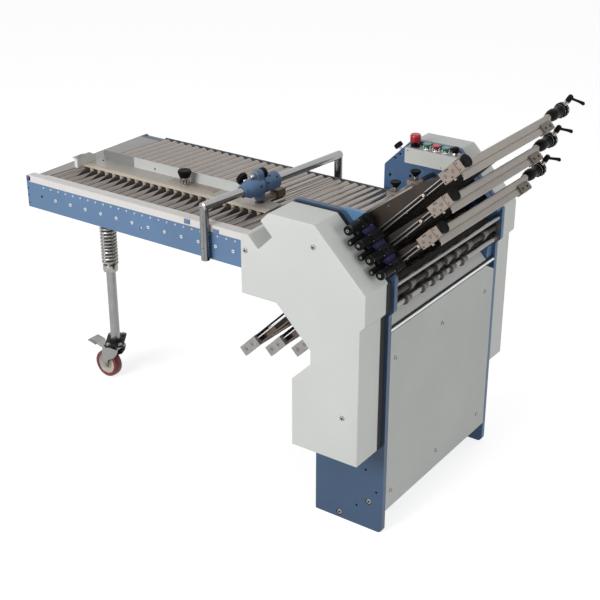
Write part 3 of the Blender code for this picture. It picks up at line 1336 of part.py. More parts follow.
def make_caster(x, y, plate_low):
    up = Vector((0.0, 0.0, 1.0))
    across = Vector((0.0, 1.0, 0.0))
    axle_x = x - CASTER_TRAIL
    swivel_top = plate_low - FIT_GAP
    crown_low = swivel_top - SWIVEL_HEIGHT
    bridge_low = crown_low - FORK_BRIDGE
    outer = FORK_GAP + FORK_WALL
    arm = FORK_ARM_HALF
    outline = [
        (axle_x - arm, WHEEL_RADIUS - arm),
        (axle_x + arm, WHEEL_RADIUS - arm),
        (x + SWIVEL_RADIUS, bridge_low),
        (x + SWIVEL_RADIUS, crown_low + WELD),
        (x - SWIVEL_RADIUS, crown_low + WELD),
        (axle_x - arm, bridge_low - FORK_BRIDGE),
    ]
    shape = bmesh.new()
    add_prism(shape, outline, y - outer, y + outer)
    fork = place("caster_fork", shape, STEEL, origin=(x, y, swivel_top))
    pocket = bmesh.new()
    add_block(
        pocket,
        (axle_x - arm - OVERRUN, y - FORK_GAP, WHEEL_RADIUS - arm - OVERRUN),
        (x + SWIVEL_RADIUS + OVERRUN, y + FORK_GAP, bridge_low),
    )
    cut(fork, pocket, "pocket")
    parts = bmesh.new()
    add_turned(parts, (x, y, crown_low), up, [(0.0, SWIVEL_RADIUS), (SWIVEL_HEIGHT, SWIVEL_RADIUS)], ROLLER_SIDES)
    axle_length = 2 * outer + 2 * FORK_WALL
    add_turned(
        parts,
        (axle_x, y - outer - FORK_WALL, WHEEL_RADIUS),
        across,
        [(0.0, AXLE_RADIUS), (axle_length, AXLE_RADIUS)],
        BOSS_SIDES,
    )
    join(fork, parts, "swivel_and_axle")

    wheel = bmesh.new()
    half = WHEEL_WIDTH / 2
    hub_half = FORK_GAP - WHEEL_END_GAP
    stations = [
        (-hub_half, WHEEL_HUB_RADIUS),
        (-half / 2, WHEEL_HUB_RADIUS),
        (-half / 2, WHEEL_DISC_RADIUS),
        (-half, WHEEL_RIM_RADIUS),
        (-half, TYRE_SHOULDER_RADIUS),
        (WHEEL_ROUND - half, WHEEL_RADIUS),
        (half - WHEEL_ROUND, WHEEL_RADIUS),
        (half, TYRE_SHOULDER_RADIUS),
        (half, WHEEL_RIM_RADIUS),
        (half / 2, WHEEL_DISC_RADIUS),
        (half / 2, WHEEL_HUB_RADIUS),
        (hub_half, WHEEL_HUB_RADIUS),
    ]
    centre = (axle_x, y, WHEEL_RADIUS)
    add_turned(wheel, centre, across, stations, WHEEL_SIDES)
    tyre = place("caster_wheel", wheel, TYRE_RED, origin=centre, smooth=True)
    bore = bmesh.new()
    bore_start = (axle_x, y - hub_half - OVERRUN, WHEEL_RADIUS)
    radius = WHEEL_BORE_RADIUS
    add_turned(bore, bore_start, across, [(0.0, radius), (2 * hub_half + 2 * OVERRUN, radius)], BOSS_SIDES)
    cut(tyre, bore, "bore")

    pivot = Vector((x - PEDAL_PIVOT_X, y, PEDAL_PIVOT_Z))
    far_x = pivot.x - PEDAL_LENGTH
    pedal_half = FORK_GAP - FIT_GAP
    outline = [
        (pivot.x + PEDAL_BOSS, pivot.z - PEDAL_THICK / 2),
        (pivot.x + PEDAL_BOSS, pivot.z + PEDAL_THICK / 2),
        (pivot.x - PEDAL_BOSS, pivot.z + PEDAL_THICK / 2),
        (far_x, pivot.z + PEDAL_RISE + PEDAL_THICK / 2),
        (far_x, pivot.z + PEDAL_RISE - PEDAL_THICK / 2),
        (pivot.x - PEDAL_BOSS, pivot.z - PEDAL_THICK / 2),
    ]
    shape = bmesh.new()
    add_prism(shape, outline, y - pedal_half, y + pedal_half)
    pedal = place("brake_pedal", shape, STEEL, origin=pivot)
    tread = bmesh.new()
    slope = PEDAL_RISE / (PEDAL_LENGTH - PEDAL_BOSS)
    tread_drop = slope * PEDAL_TREAD_LENGTH
    tread_x = far_x + PEDAL_TREAD_LENGTH
    low_z = pivot.z + PEDAL_RISE - PEDAL_THICK / 2 + PEDAL_TREAD_INSET
    high_z = pivot.z + PEDAL_RISE + PEDAL_THICK / 2 - PEDAL_TREAD_INSET
    outline = [
        (far_x - PEDAL_TREAD_INSET, low_z),
        (far_x - PEDAL_TREAD_INSET, high_z),
        (tread_x, high_z - tread_drop),
        (tread_x, low_z - tread_drop),
    ]
    add_prism(tread, outline, y - PEDAL_TREAD_HALF, y + PEDAL_TREAD_HALF)
    join(pedal, tread, "tread")


def main():
    remove_scene_objects()
    make_side_plates()
    make_covers()
    make_panel_and_chute()
    make_delivery_shafts()
    make_fold_rollers()
    make_upper_fold_plates()
    make_lower_fold_plates()
    make_bearing_blocks()
    make_hold_down()
    make_drive()
    make_tie_beam()
    make_controls()
    make_rails()
    make_table_end()
    make_top_strip()
    make_roller_bank()
    guide_top = make_side_guide()
    make_bridge()
    make_bridge_clamp(guide_top)
    make_leg()
    bpy.context.view_layer.update()


main()
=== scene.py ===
"""Looks of the paper folding machine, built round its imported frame."""

import math

import bmesh
import bpy
from mathutils import Matrix, Vector


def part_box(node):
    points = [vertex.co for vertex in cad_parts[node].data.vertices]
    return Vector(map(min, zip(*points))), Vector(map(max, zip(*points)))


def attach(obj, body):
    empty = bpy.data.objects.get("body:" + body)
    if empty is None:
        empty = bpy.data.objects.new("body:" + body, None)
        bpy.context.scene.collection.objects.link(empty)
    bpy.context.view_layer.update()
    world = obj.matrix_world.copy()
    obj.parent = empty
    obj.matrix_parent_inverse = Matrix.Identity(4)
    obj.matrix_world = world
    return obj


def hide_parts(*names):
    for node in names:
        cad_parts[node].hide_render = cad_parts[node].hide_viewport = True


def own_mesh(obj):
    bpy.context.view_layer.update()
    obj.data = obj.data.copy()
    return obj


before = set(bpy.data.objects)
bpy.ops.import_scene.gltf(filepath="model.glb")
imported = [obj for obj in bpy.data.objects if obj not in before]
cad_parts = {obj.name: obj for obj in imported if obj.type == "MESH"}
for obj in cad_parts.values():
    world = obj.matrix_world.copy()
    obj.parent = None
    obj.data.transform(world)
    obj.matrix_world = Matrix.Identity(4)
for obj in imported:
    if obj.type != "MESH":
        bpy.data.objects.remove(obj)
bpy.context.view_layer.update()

# Places read from the frame; x is nought at the front edge and negative behind it,
# and inward is measured from the near plate's inner face
FIT_GAP = 0.0003
FRONT_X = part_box("front_panel")[1].x
NEAR_FACE_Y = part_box("near_side_plate")[1].y
PLATE_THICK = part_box("near_side_plate")[1].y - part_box("near_side_plate")[0].y
INNER_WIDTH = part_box("far_side_plate")[1].y - PLATE_THICK - NEAR_FACE_Y
PLATE_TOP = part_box("far_side_plate")[1].z
FOLD_ANGLE = math.radians(45)
SKEW = math.radians(6.6)
BRIDGE_SKEW = math.radians(5.9)
ACROSS = Vector((0.0, 1.0, 0.0))
UP = Vector((0.0, 0.0, 1.0))
FRONT = Vector((1.0, 0.0, 0.0))
OUT_T = Vector((math.sin(FOLD_ANGLE), 0.0, math.cos(FOLD_ANGLE)))
DOWN_S = Vector((math.cos(FOLD_ANGLE), 0.0, -math.sin(FOLD_ANGLE)))
TABLE_ACROSS = Vector((math.sin(SKEW), math.cos(SKEW), 0.0))
TABLE_ALONG = Vector((math.cos(SKEW), -math.sin(SKEW), 0.0))
BRIDGE_ACROSS = Vector((math.sin(BRIDGE_SKEW), math.cos(BRIDGE_SKEW), 0.0))
BRIDGE_ALONG = Vector((math.cos(BRIDGE_SKEW), -math.sin(BRIDGE_SKEW), 0.0))
ROUND = 48
SMALL_ROUND = 24
FRAME_BODY = "machine_frame"
SCREW = ("zinc", "hole")
BLACK_SCREW = ("plastic", "hole")

# Side plates and covers
PLATE_FOOT_WIDTH = 0.230
PLATE_BROW = 0.015
BROW_LOW = 0.697
EDGE_Z = 0.825
REAR_X = 0.397
TOP_REAR_X = 0.302
REAR_LOW = 0.706
THROAT_BACK_X = 0.1695
THROAT_TOP = 0.597
THROAT_LOW = 0.557
FOOT_CHAMFER = 0.010
NOTCH_WIDTH = 0.059
NOTCH_DEPTH = 0.054
NOTCH_LIP_X = 0.332
LOBE_RISE = 0.033
LOBE_CHAMFER = 0.012
COVER_INSET = 0.003
COVER_FOOT = 0.283
COVER_SHEET = 0.0025
COVER_BEND = 0.003
COVER_SCREWS = ((-0.378, 0.838), (-0.158, 0.900), (-0.061, 0.425))
# Inset of the black strip that paints the shade in the near cover's gap
GAP_SHADE_INSET = 0.0075
NEAR_COVER_GAP = 0.017
FAR_COVER_GAP = 0.003
NEAR_SLANT_BACK = 0.015
NEAR_FRONT_BACK = 0.008
GUSSET = ((-0.211, -0.004), (-0.163, -0.004), (-0.163, 0.042))
SLANT_KNOB = (-0.342, 0.9245)
PLATE_BOLTS = ((-0.048, 0.091), (-0.147, 0.017))
PLATE_PIN_HOLES = ((-0.022, 0.1325), (-0.087, 0.065), (-0.059, 0.196))

# Fold rollers and plates; s runs down the slanted edge and t out along the upper plates
ROLLER_PITCH = 0.047
ROLLER_RADIUS = 0.020
ROLLER_NIP = 0.0004
UPPER_ROW_T = -0.100
UPPER_ROW_S = -0.1275
ROLLERS_IN_ROW = 4
DRIVEN_ROLLER = 6
JOURNAL_RADIUS = 0.010
JOURNAL_REACH = 0.012
UPPER_END_T = 0.325
LOWER_END_T = 0.602
END_STEP_T = 0.0845
UPPER_MOUTH_T = -0.086
LOWER_MOUTH_T = -0.145
PLATE_BODY = 0.012
GUIDE_ROD_RADIUS = 0.0045
NEAR_ROD_Y = 0.019
FAR_ROD_INSET = 0.0325
END_BLOCK_LENGTH = 0.074
END_BLOCK_DEPTH = 0.032
END_BLOCK_Y = (-0.004, 0.0232)
RAIL_DEPTH = 0.027
RAIL_HALF = 0.010
LEVER_TURNS = (math.radians(20), math.radians(40), math.radians(47))
LEVER_LEAN = math.radians(31)
LEVER_ARM = 0.041
LEVER_STEPS = 10
RAIL_STOPS_SHORT = 0.040
GRIP_LENGTH = 0.042
CLAMP_LENGTH = 0.026
CLAMP_RADIUS = 0.021

# Delivery, drive, panel and chute
SHAFT_X = -0.004
SHAFT_Z = 0.750
SHAFT_SPACING = 0.036
SHAFT_RADIUS = 0.009
SHAFT_JOURNAL = 0.007
DARK_SHEET_X = -0.0345
DARK_SHEET_Z = (0.685, 0.774)
UPPER_DRUMS = (0.097, 0.189, 0.239, 0.296, 0.351, 0.421, 0.519)
LOWER_DRUMS = (0.079, 0.170, 0.224, 0.273, 0.329, 0.395)
DRUM_WIDTH = 0.030
DRUM_RADIUS = 0.0150
ROD_X = 0.005
ROD_Z = 0.782
ROD_RADIUS = 0.0065
MOTOR_X = -0.115
MOTOR_Z = 0.380
MOTOR_SHAFT = 0.009
FAR_PLATE_HOLES = ((-0.376, 0.838, 0.0045), (-0.359, 0.897, 0.0035), (-0.342, 0.912, 0.0035),
                   (-0.304, 0.848, 0.0045))
PANEL_SCREWS = ((0.026, 0.127), (0.288, 0.127), (0.549, 0.127), (0.026, 0.555), (0.288, 0.555),
                (0.549, 0.555))
PANEL_CORNER = (0.549, 0.614)
PANEL_SHEET = 0.0025
CHUTE_LOW_Z = 0.6465
CHUTE_ANGLE = math.radians(45)
CHUTE_FAR_Y = 0.563

# Register table
RAIL_FACE_Y = 0.012
RAIL_OUTER_X = 1.366
RAIL_INNER_X = 0.262
RAIL_WALL = 0.004
RAIL_FLANGE = 0.036
RAIL_PAD_X = 0.390
TABLE_ROLLERS = 33
TABLE_PITCH = 0.032
TABLE_FIRST_X = 1.300
TABLE_ROLLER_RADIUS = 0.0152
TABLE_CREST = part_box("side_guide")[0].z - 0.0004
TABLE_ROLLER_Z = TABLE_CREST - TABLE_ROLLER_RADIUS
TABLE_NEAR_Y = 0.0500
TABLE_FAR_Y = 0.5495
RAIL_HOLES = ((-1.312, 0.7435), (-0.8945, 0.732), (-0.470, 0.742))
RAIL_FIRST_SCREW = -1.2503
RAIL_SCREW_PITCH = 0.0646
RAIL_SCREWS = 14
RAIL_SCREW_Z = 0.7425
AXLE_SCREW_DROP = 0.0115
STRIP_Y = 0.041
STRIP_THICK = 0.005
GUIDE_LEFT_X = 1.285
GUIDE_RIGHT_X = 0.545
GUIDE_WALL_RIGHT_X = 0.700
LIP_INSET = 0.008
GUIDE_RISE = 0.0090
GUIDE_NEAR_Y = 0.167
GUIDE_WALL_Y = 0.249
GUIDE_SHEET = 0.003
GUIDE_KNOB = (0.890, 0.220)

# Bridge and clamp
BRIDGE_X = 0.6315
BRIDGE_Z = 0.864
BRIDGE_RADIUS = 0.0135
CLAMP_SPAN = (0.155, 0.303)
CLAMP_BOSS_Y = 0.224
CLAMP_FOOT_Y = 0.232
CLAMP_KNOB_Y = 0.201
CLAMP_KNOB_TILT = math.radians(25)

# Leg and caster
LEG_X = 1.258
LEG_Y = 0.243
CASTER_TURN = math.radians(35)
CASTER_TRAIL = 0.040
WHEEL_RADIUS = 0.050
WHEEL_WIDTH = 0.032
SOCKET_LOW = 0.7023
TUBE_LOW = 0.1495
TUBE_TOP = 0.620
TUBE_RADIUS = 0.0165
SPRING_WIRE = 0.0039
SPRING_RADIUS = 0.0250
SPRING_CURLS = 21
SPRING_STEPS = 24
FORK_GAP = 0.0195
FORK_WALL = 0.003

# Bearing blocks, hold-down and controls
BLOCK_COUNT = 4
BLOCK_FIRST_S = -0.146
HOLD_X = 0.225
HOLD_Z = PLATE_TOP - 0.095
HOLD_PLACES = (INNER_WIDTH - 0.221, INNER_WIDTH - 0.106)
BUTTON_Y = INNER_WIDTH - 0.0233
BOX_REAR_X = 0.300
BOX_FRONT_X = 0.119
STOP_X = 0.277
DIAL_X = 0.139
BUTTONS = (
    ("start_button", 0.236, "green"),
    ("stop_button", 0.205, "red"),
    ("jog_button", 0.172, "green"),
)
BUTTON_COLLAR = 0.0078
STOP_BASE = 0.0110

# Light and camera
WHITE = (1.0, 1.0, 1.0, 1.0)
FLOOR_GLOW = 0.76
WORLD_LIGHT = 0.35
LAMPS = (
    ("key", (-1.0, -4.6, 2.6), (2.6, 2.2), 165.0),
    ("side_fill", (4.2, -0.6, 1.6), (2.0, 2.0), 44.0),
    ("top", (0.2, 0.4, 4.2), (3.2, 2.2), 12.0),
)
LAMP_AIM = (0.1, 0.0, 0.5)
CAMERA_PLACE = (2.0926, -2.8665, 2.1482)
CAMERA_TILT = math.radians(90 - 25.24)
CAMERA_TURN = math.radians(35.04)
CAMERA_LENS = 75.1
SENSOR_WIDTH = 36.0


def machine(x, inward, z):
    """World place of x along the machine, inward from the near plate, and height."""
    return Vector((FRONT_X + x, NEAR_FACE_Y + inward, z))


def fold_place(s, inward, t):
    """World place of s, down the slanted edge, and t, out along the upper fold plates."""
    root = machine(0.0, inward, EDGE_Z)
    return root + DOWN_S * s + OUT_T * t


def fold_xz(s, t):
    """Side view (x, z) of a place given as s and t."""
    place = fold_place(s, 0.0, t)
    return place.x - FRONT_X, place.z


def skewed(x, inward, angle):
    """X of a line that leaves the near rail at x and leans towards the fold rollers."""
    return x + (inward - RAIL_FACE_Y) * math.tan(angle)


def rectangle(low_a, high_a, low_b, high_b):
    """Corners of a rectangle, counter-clockwise."""
    return [(low_a, low_b), (high_a, low_b), (high_a, high_b), (low_a, high_b)]


def inward_span(name):
    """Where a CAD node starts and ends, inward from the near plate."""
    low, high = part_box(name)
    return low.y - NEAR_FACE_Y, high.y - NEAR_FACE_Y


def spoke(angle, first, second):
    """A direction turned from the first axis towards the second."""
    return first * math.cos(angle) + second * math.sin(angle)


def spokes(count, first, second, phase=0.0):
    """Evenly spaced directions, the first of them off the first axis by a share of a step."""
    return [spoke(2 * math.pi * (step + phase) / count, first, second) for step in range(count)]


def table_roller_start(index):
    """Near end of a table roller's axis, in the middle of the near bearing strip."""
    inward = STRIP_Y + STRIP_THICK / 2
    return machine(skewed(-TABLE_FIRST_X + index * TABLE_PITCH, inward, SKEW), inward, TABLE_ROLLER_Z)


def roller_places():
    """Side view (s, t) centres of the fold rollers, upper and lower in turn."""
    spacing = 2 * ROLLER_RADIUS + ROLLER_NIP
    row_drop = math.sqrt(spacing ** 2 - (ROLLER_PITCH / 2) ** 2)
    places = []
    for index in range(ROLLERS_IN_ROW):
        s = UPPER_ROW_S + index * ROLLER_PITCH
        places.append((s, UPPER_ROW_T))
        places.append((s + ROLLER_PITCH / 2, UPPER_ROW_T - row_drop))
    return places


# Materials


class Nodes:
    """A material's node tree with short calls for what the finishes share."""

    def __init__(self, name):
        self.material = bpy.data.materials.new(name)
        self.material.use_nodes = True
        self.tree = self.material.node_tree
        self.shader = self.tree.nodes["Principled BSDF"]

    def add(self, kind, **settings):
        node = self.tree.nodes.new(kind)
        for key, value in settings.items():
            setattr(node, key, value)
        return node

    def link(self, source, target):
        self.tree.links.new(source, target)

    def places(self, stretch):
        coordinates = self.add("ShaderNodeTexCoord")
        mapping = self.add("ShaderNodeMapping")
        mapping.inputs["Scale"].default_value = stretch
        self.link(coordinates.outputs["Object"], mapping.inputs["Vector"])
        return mapping.outputs["Vector"]

    def noise(self, places, scale, detail=3.0, roughness=0.55):
        node = self.add("ShaderNodeTexNoise")
        node.inputs["Scale"].default_value = scale
        node.inputs["Detail"].default_value = detail
        node.inputs["Roughness"].default_value = roughness
        self.link(places, node.inputs["Vector"])
        return node.outputs["Fac"]

    def spread(self, value, low, high, to_low=0.0, to_high=1.0):
        node = self.add("ShaderNodeMapRange")
        limits = (low, high, to_low, to_high)
        for key, limit in zip(("From Min", "From Max", "To Min", "To Max"), limits):
            node.inputs[key].default_value = limit
        self.link(value, node.inputs["Value"])
        return node.outputs["Result"]

    def blend(self, factor, first, second):
        """A colour between two; each is a colour or the output of another node."""
        node = self.add("ShaderNodeMix", data_type="RGBA")
        self.link(factor, node.inputs["Factor"])
        for socket, colour in ((node.inputs[6], first), (node.inputs[7], second)):
            if isinstance(colour, tuple):
                socket.default_value = (*colour, 1.0)
            else:
                self.link(colour, socket)
        return node.outputs[2]


def shade(colour, amount):
    """A colour made lighter or darker."""
    return tuple(min(1.0, part * amount) for part in colour)


def surface(name, colour, roughness, metallic=0.0, vary=0.06, patch=9.0, grain=700.0, stretch=(1, 1, 1),
            bump=0.15, depth=0.0001, rough_vary=0.08, wear=None, wear_share=0.0, coat=0.0, specular=0.5):
    """A finish with soft colour patches, uneven gloss, a fine grain and, if asked, worn spots."""
    nodes = Nodes(name)
    places = nodes.places(stretch)
    plain = nodes.places((1, 1, 1))
    patches = nodes.spread(nodes.noise(plain, patch, 4.0), 0.35, 0.65)
    tint = nodes.blend(patches, shade(colour, 1 - vary), shade(colour, 1 + vary))
    fine = nodes.noise(places, grain, 2.0)
    if wear:
        spots = nodes.noise(plain, patch * 9, 6.0, 0.7)
        edge = 0.5 + (0.5 - wear_share) * 0.4
        tint = nodes.blend(nodes.spread(spots, edge, edge + 0.08), tint, wear)
    speckle = nodes.spread(fine, 0.3, 0.7)
    tint = nodes.blend(speckle, tint,
                       nodes.blend(patches, shade(colour, 1 - vary / 2), shade(colour, 1 + vary)))
    nodes.link(tint, nodes.shader.inputs["Base Color"])
    rough = nodes.spread(fine, 0.3, 0.7, max(0.02, roughness - rough_vary), min(1.0, roughness + rough_vary))
    nodes.link(rough, nodes.shader.inputs["Roughness"])
    relief = nodes.add("ShaderNodeBump")
    relief.inputs["Strength"].default_value = bump
    relief.inputs["Distance"].default_value = depth
    nodes.link(fine, relief.inputs["Height"])
    nodes.link(relief.outputs["Normal"], nodes.shader.inputs["Normal"])
    nodes.shader.inputs["Metallic"].default_value = metallic
    nodes.shader.inputs["Coat Weight"].default_value = coat
    nodes.shader.inputs["Specular IOR Level"].default_value = specular
    nodes.material.diffuse_color = (*colour, 1.0)
    return nodes.material


# How the fine grain is stretched in x, y and z
DRAWN = (0.1, 1.0, 1.0)
GROUND = (1.0, 6.0, 1.0)
ROLLED = (1.0, 0.04, 1.0)


def paints():
    """Painted sheet and castings."""
    return {
        "blue": surface("blue_paint", (0.092, 0.18, 0.325), 0.42, vary=0.07, patch=5, grain=420, bump=0.25,
                        coat=0.15),
        # Darker copies of the blue paint for the side plates: painted shade, deepest on the near plate
        "near_plate_painted_shade": surface("near_plate_painted_shade", (0.04, 0.082, 0.155), 0.42, vary=0.1, patch=5, grain=420,
                              bump=0.25, coat=0.1, specular=0.35),
        "far_shaded_blue": surface("far_plate_painted_shade", (0.058, 0.124, 0.245), 0.42, vary=0.09, patch=5, grain=420,
                            bump=0.25, coat=0.1, specular=0.35),
        # The gusset's blue, lighter than the blue paint: painted highlight
        "blue_painted_highlight": surface("gusset_painted_highlight", (0.085, 0.205, 0.365), 0.38, vary=0.1, patch=14, grain=420,
                               bump=0.25, coat=0.15),
        "cast_blue": surface("cast_blue", (0.08, 0.155, 0.28), 0.46, vary=0.09, patch=20, grain=260, bump=0.5,
                             depth=0.0003),
        "pale": surface("pale_paint", (0.63, 0.645, 0.615), 0.48, vary=0.025, patch=3.5, grain=650, bump=0.25,
                        wear=(0.5, 0.51, 0.49), wear_share=0.05),
        "cover": surface("cover_paint", (0.615, 0.633, 0.605), 0.48, vary=0.025, patch=3.5, grain=650,
                         bump=0.25, wear=(0.5, 0.51, 0.49), wear_share=0.05),
        "band": surface("band_paint", (0.72, 0.695, 0.68), 0.42, vary=0.03, patch=6, grain=500),
        "white": surface("white_edge", (0.8, 0.805, 0.8), 0.4, vary=0.02, patch=20, grain=600),
        "grey": surface("grey_paint", (0.49, 0.505, 0.49), 0.5, vary=0.04, patch=4, grain=600, bump=0.25),
        "light": surface("light_paint", (0.56, 0.575, 0.56), 0.42, vary=0.03, patch=8, grain=500),
        "lid": surface("lid_grey", (0.33, 0.335, 0.33), 0.45, vary=0.05, patch=10, grain=600),
        "tab_grey": surface("tab_grey", (0.64, 0.64, 0.61), 0.42, vary=0.05, patch=16, grain=600),
        "deck": surface("deck_grey", (0.33, 0.322, 0.312), 0.42, vary=0.06, patch=9, grain=500),
        # Darker grey for the guide wall's outer end: painted shade
        "wall_shade_grey": surface("wall_painted_shade", (0.235, 0.24, 0.235), 0.38, vary=0.08, patch=7, grain=600),
        "edge_grey": surface("edge_grey", (0.07, 0.08, 0.092), 0.45, vary=0.12, patch=10, grain=500),
    }


def metals():
    """Bright, ground, plated and anodised metal."""
    return {
        "chrome": surface("chrome", (0.42, 0.425, 0.425), 0.16, 1.0, vary=0.03, patch=20, grain=900,
                          bump=0.05, rough_vary=0.05),
        "dark_chrome": surface("dark_chrome", (0.13, 0.13, 0.128), 0.26, 1.0, vary=0.15, patch=60, grain=900,
                               bump=0.08),
        # Near-white metal for bright edges, collars and thin rods: real metal with a painted highlight
        "glint": surface("painted_glint_metal", (0.8, 0.805, 0.81), 0.22, 0.7, vary=0.04, patch=60, grain=900,
                         bump=0.05),
        "ground": surface("ground_steel", (0.318, 0.284, 0.26), 0.2, 0.9, vary=0.05, patch=14, grain=900,
                          stretch=GROUND, bump=0.05, rough_vary=0.04),
        # A darker copy of the ground steel for the rollers' near part by the guide: painted shade
        "ground_near_shade": surface("ground_steel_painted_shade", (0.235, 0.205, 0.188), 0.32, 0.6, vary=0.12, patch=14,
                               grain=900, stretch=GROUND, bump=0.05, rough_vary=0.04),
        "satin": surface("satin_steel", (0.29, 0.288, 0.28), 0.28, 0.9, vary=0.07, patch=24, grain=900,
                         stretch=(1.0, 5.0, 1.0), bump=0.1),
        "zinc": surface("zinc_screw", (0.34, 0.335, 0.32), 0.28, 1.0, vary=0.12, patch=90, grain=1500),
        "bronze": surface("bronze_rim", (0.23, 0.16, 0.09), 0.42, 0.8, vary=0.2, patch=120, grain=900),
        "rail": surface("light_aluminium", (0.325, 0.295, 0.268), 0.36, 0.6, vary=0.05, patch=14, grain=900,
                        bump=0.1),
        "shaft_grey": surface("shaft_grey", (0.105, 0.096, 0.088), 0.42, 0.6, vary=0.2, patch=50, grain=600,
                              bump=0.3),
        "rod_steel": surface("rod_steel", (0.4, 0.395, 0.385), 0.3, 0.9, vary=0.12, patch=50, grain=900,
                             bump=0.08),
        "bar_steel": surface("bar_steel", (0.36, 0.362, 0.36), 0.2, 1.0, vary=0.05, patch=20, grain=900,
                             bump=0.05),
        "post_steel": surface("post_steel", (0.215, 0.218, 0.22), 0.24, 1.0, vary=0.08, patch=20, grain=900,
                              bump=0.05),
        "spring": surface("spring_steel", (0.36, 0.35, 0.33), 0.3, 0.9, vary=0.12, patch=60, grain=900),
        "flange": surface("flange_steel", (0.43, 0.402, 0.372), 0.42, 0.1, vary=0.05, patch=10, grain=700,
                          stretch=DRAWN, bump=0.1),
        "violet": surface("violet_anodised", (0.085, 0.085, 0.25), 0.38, 0.5, vary=0.1, patch=30, grain=600),
    }


def dull_metals():
    """Castings, oiled and blackened metal, and shaded undersides."""
    return {
        "beige": surface("cast_beige", (0.285, 0.235, 0.198), 0.5, 0.2, vary=0.1, patch=28, grain=380,
                         bump=0.45, depth=0.0002, wear=(0.3, 0.24, 0.21), wear_share=0.1),
        "bracket": surface("taupe_bracket", (0.165, 0.14, 0.118), 0.5, 0.2, vary=0.15, patch=40, grain=380,
                           bump=0.4),
        "grey_cast": surface("grey_cast", (0.3, 0.29, 0.275), 0.5, 0.3, vary=0.14, patch=40, grain=350,
                             bump=0.5, depth=0.0003, wear=(0.16, 0.15, 0.14), wear_share=0.15),
        "brown": surface("oiled_brown", (0.115, 0.085, 0.066), 0.45, 0.4, vary=0.22, patch=40, grain=500,
                         bump=0.3),
        # Brown for the fading ends of the painted reflections on the table rollers
        "reflection_tail": surface("painted_reflection_tail", (0.075, 0.058, 0.05), 0.5, vary=0.2, patch=12, grain=400, specular=0.3),
        "slide": surface("slide_tan", (0.33, 0.28, 0.235), 0.42, 0.2, vary=0.1, patch=30, grain=600,
                         stretch=DRAWN),
        "lip": surface("tan_lip", (0.56, 0.49, 0.4), 0.4, vary=0.07, patch=26, grain=600, stretch=DRAWN),
        "dark_plate": surface("dark_plate", (0.015, 0.011, 0.009), 0.45, 0.1, vary=0.18, patch=12, grain=500,
                              stretch=ROLLED, bump=0.2, wear=(0.08, 0.065, 0.055), wear_share=0.1,
                              specular=0.2),
        "cheek": surface("cheek_sheet", (0.034, 0.025, 0.02), 0.45, 0.15, vary=0.2, patch=18, grain=500,
                         bump=0.2, wear=(0.09, 0.068, 0.056), wear_share=0.12, specular=0.3),
        # Near black for the guide's underside and the wedges mirrored from it on the rollers: painted shade
        "underside": surface("underside_painted_shade", (0.022, 0.015, 0.012), 0.7, vary=0.2, patch=12, grain=400,
                             specular=0.2),
        # Near black for the sheet under the rollers by the guide and the sheet behind the delivery shafts:
        # painted shade
        "pan": surface("painted_shade_sheet", (0.022, 0.017, 0.014), 0.9, vary=0.3, patch=20, grain=300),
        "tan_pan": surface("tan_pan", (0.19, 0.165, 0.15), 0.6, vary=0.15, patch=20, grain=300),
        "black": surface("black_paint", (0.014, 0.014, 0.016), 0.48, vary=0.2, patch=30, grain=600, bump=0.3,
                         specular=0.12),
    }


def plastics():
    """Plastic, rubber, and the near blacks that paint shade in deep holes and gaps."""
    return {
        "plastic": surface("black_plastic", (0.007, 0.007, 0.008), 0.45, vary=0.15, patch=40, grain=800,
                           bump=0.25, specular=0.06),
        "moulded": surface("moulded_black", (0.006, 0.0055, 0.005), 0.35, vary=0.2, patch=60, grain=800,
                           bump=0.3, specular=0.05),
        # Near black for the near cover's gap and the guide tab's slot: painted shade
        "gap_shade": surface("dark_seal", (0.01, 0.01, 0.011), 0.85, vary=0.3, patch=50, grain=300, bump=0.6),
        # Near black inside holes, screw recesses and grooves: painted shade
        "hole": surface("hole_painted_shade", (0.006, 0.006, 0.006), 0.9, vary=0.3, patch=60, grain=300),
        "rubber": surface("belt_rubber", (0.016, 0.016, 0.017), 0.75, vary=0.2, patch=30, grain=250,
                          bump=0.5),
        "red": surface("red_plastic", (0.43, 0.014, 0.022), 0.34, vary=0.06, patch=60, grain=900, coat=0.15),
        "green": surface("green_plastic", (0.03, 0.215, 0.13), 0.32, vary=0.06, patch=60, grain=900,
                         coat=0.3),
        "tyre": surface("wheel_urethane", (0.165, 0.014, 0.026), 0.42, vary=0.12, patch=30, grain=500,
                        bump=0.3, wear=(0.16, 0.05, 0.05), wear_share=0.08),
        "hub": surface("cream_hub", (0.52, 0.5, 0.43), 0.45, vary=0.08, patch=40, grain=500),
    }


# Mesh tools


def turning_frame(start, direction):
    """A matrix whose Z runs along the direction from the start point."""
    turn = Vector(direction).normalized().to_track_quat("Z", "Y").to_matrix().to_4x4()
    return Matrix.Translation(Vector(start)) @ turn


def offset_outline(outline, distance):
    """Moves every side of a counter-clockwise outline inward by one distance."""
    moved = []
    count = len(outline)
    for index in range(count):
        before, here, after = outline[index - 1], outline[index], outline[(index + 1) % count]
        first = Vector((here[0] - before[0], here[1] - before[1])).normalized()
        second = Vector((after[0] - here[0], after[1] - here[1])).normalized()
        normal_a, normal_b = Vector((-first.y, first.x)), Vector((-second.y, second.x))
        mitre = (normal_a + normal_b) / max(0.2, 1 + normal_a.dot(normal_b))
        moved.append((here[0] + mitre.x * distance, here[1] + mitre.y * distance))
    return moved


def round_corners(outline, radius, steps=3):
    """Rounds every corner of an outline, by less where its sides are short."""
    rounded = []
    count = len(outline)
    for index in range(count):
        here = Vector(outline[index])
        before, after = Vector(outline[index - 1]) - here, Vector(outline[(index + 1) % count]) - here
        reach = min(radius, before.length * 0.4, after.length * 0.4)
        start, end = here + before.normalized() * reach, here + after.normalized() * reach
        for step in range(steps + 1):
            share = step / steps
            low, high = start.lerp(here, share), here.lerp(end, share)
            rounded.append(tuple(low.lerp(high, share)))
    return rounded


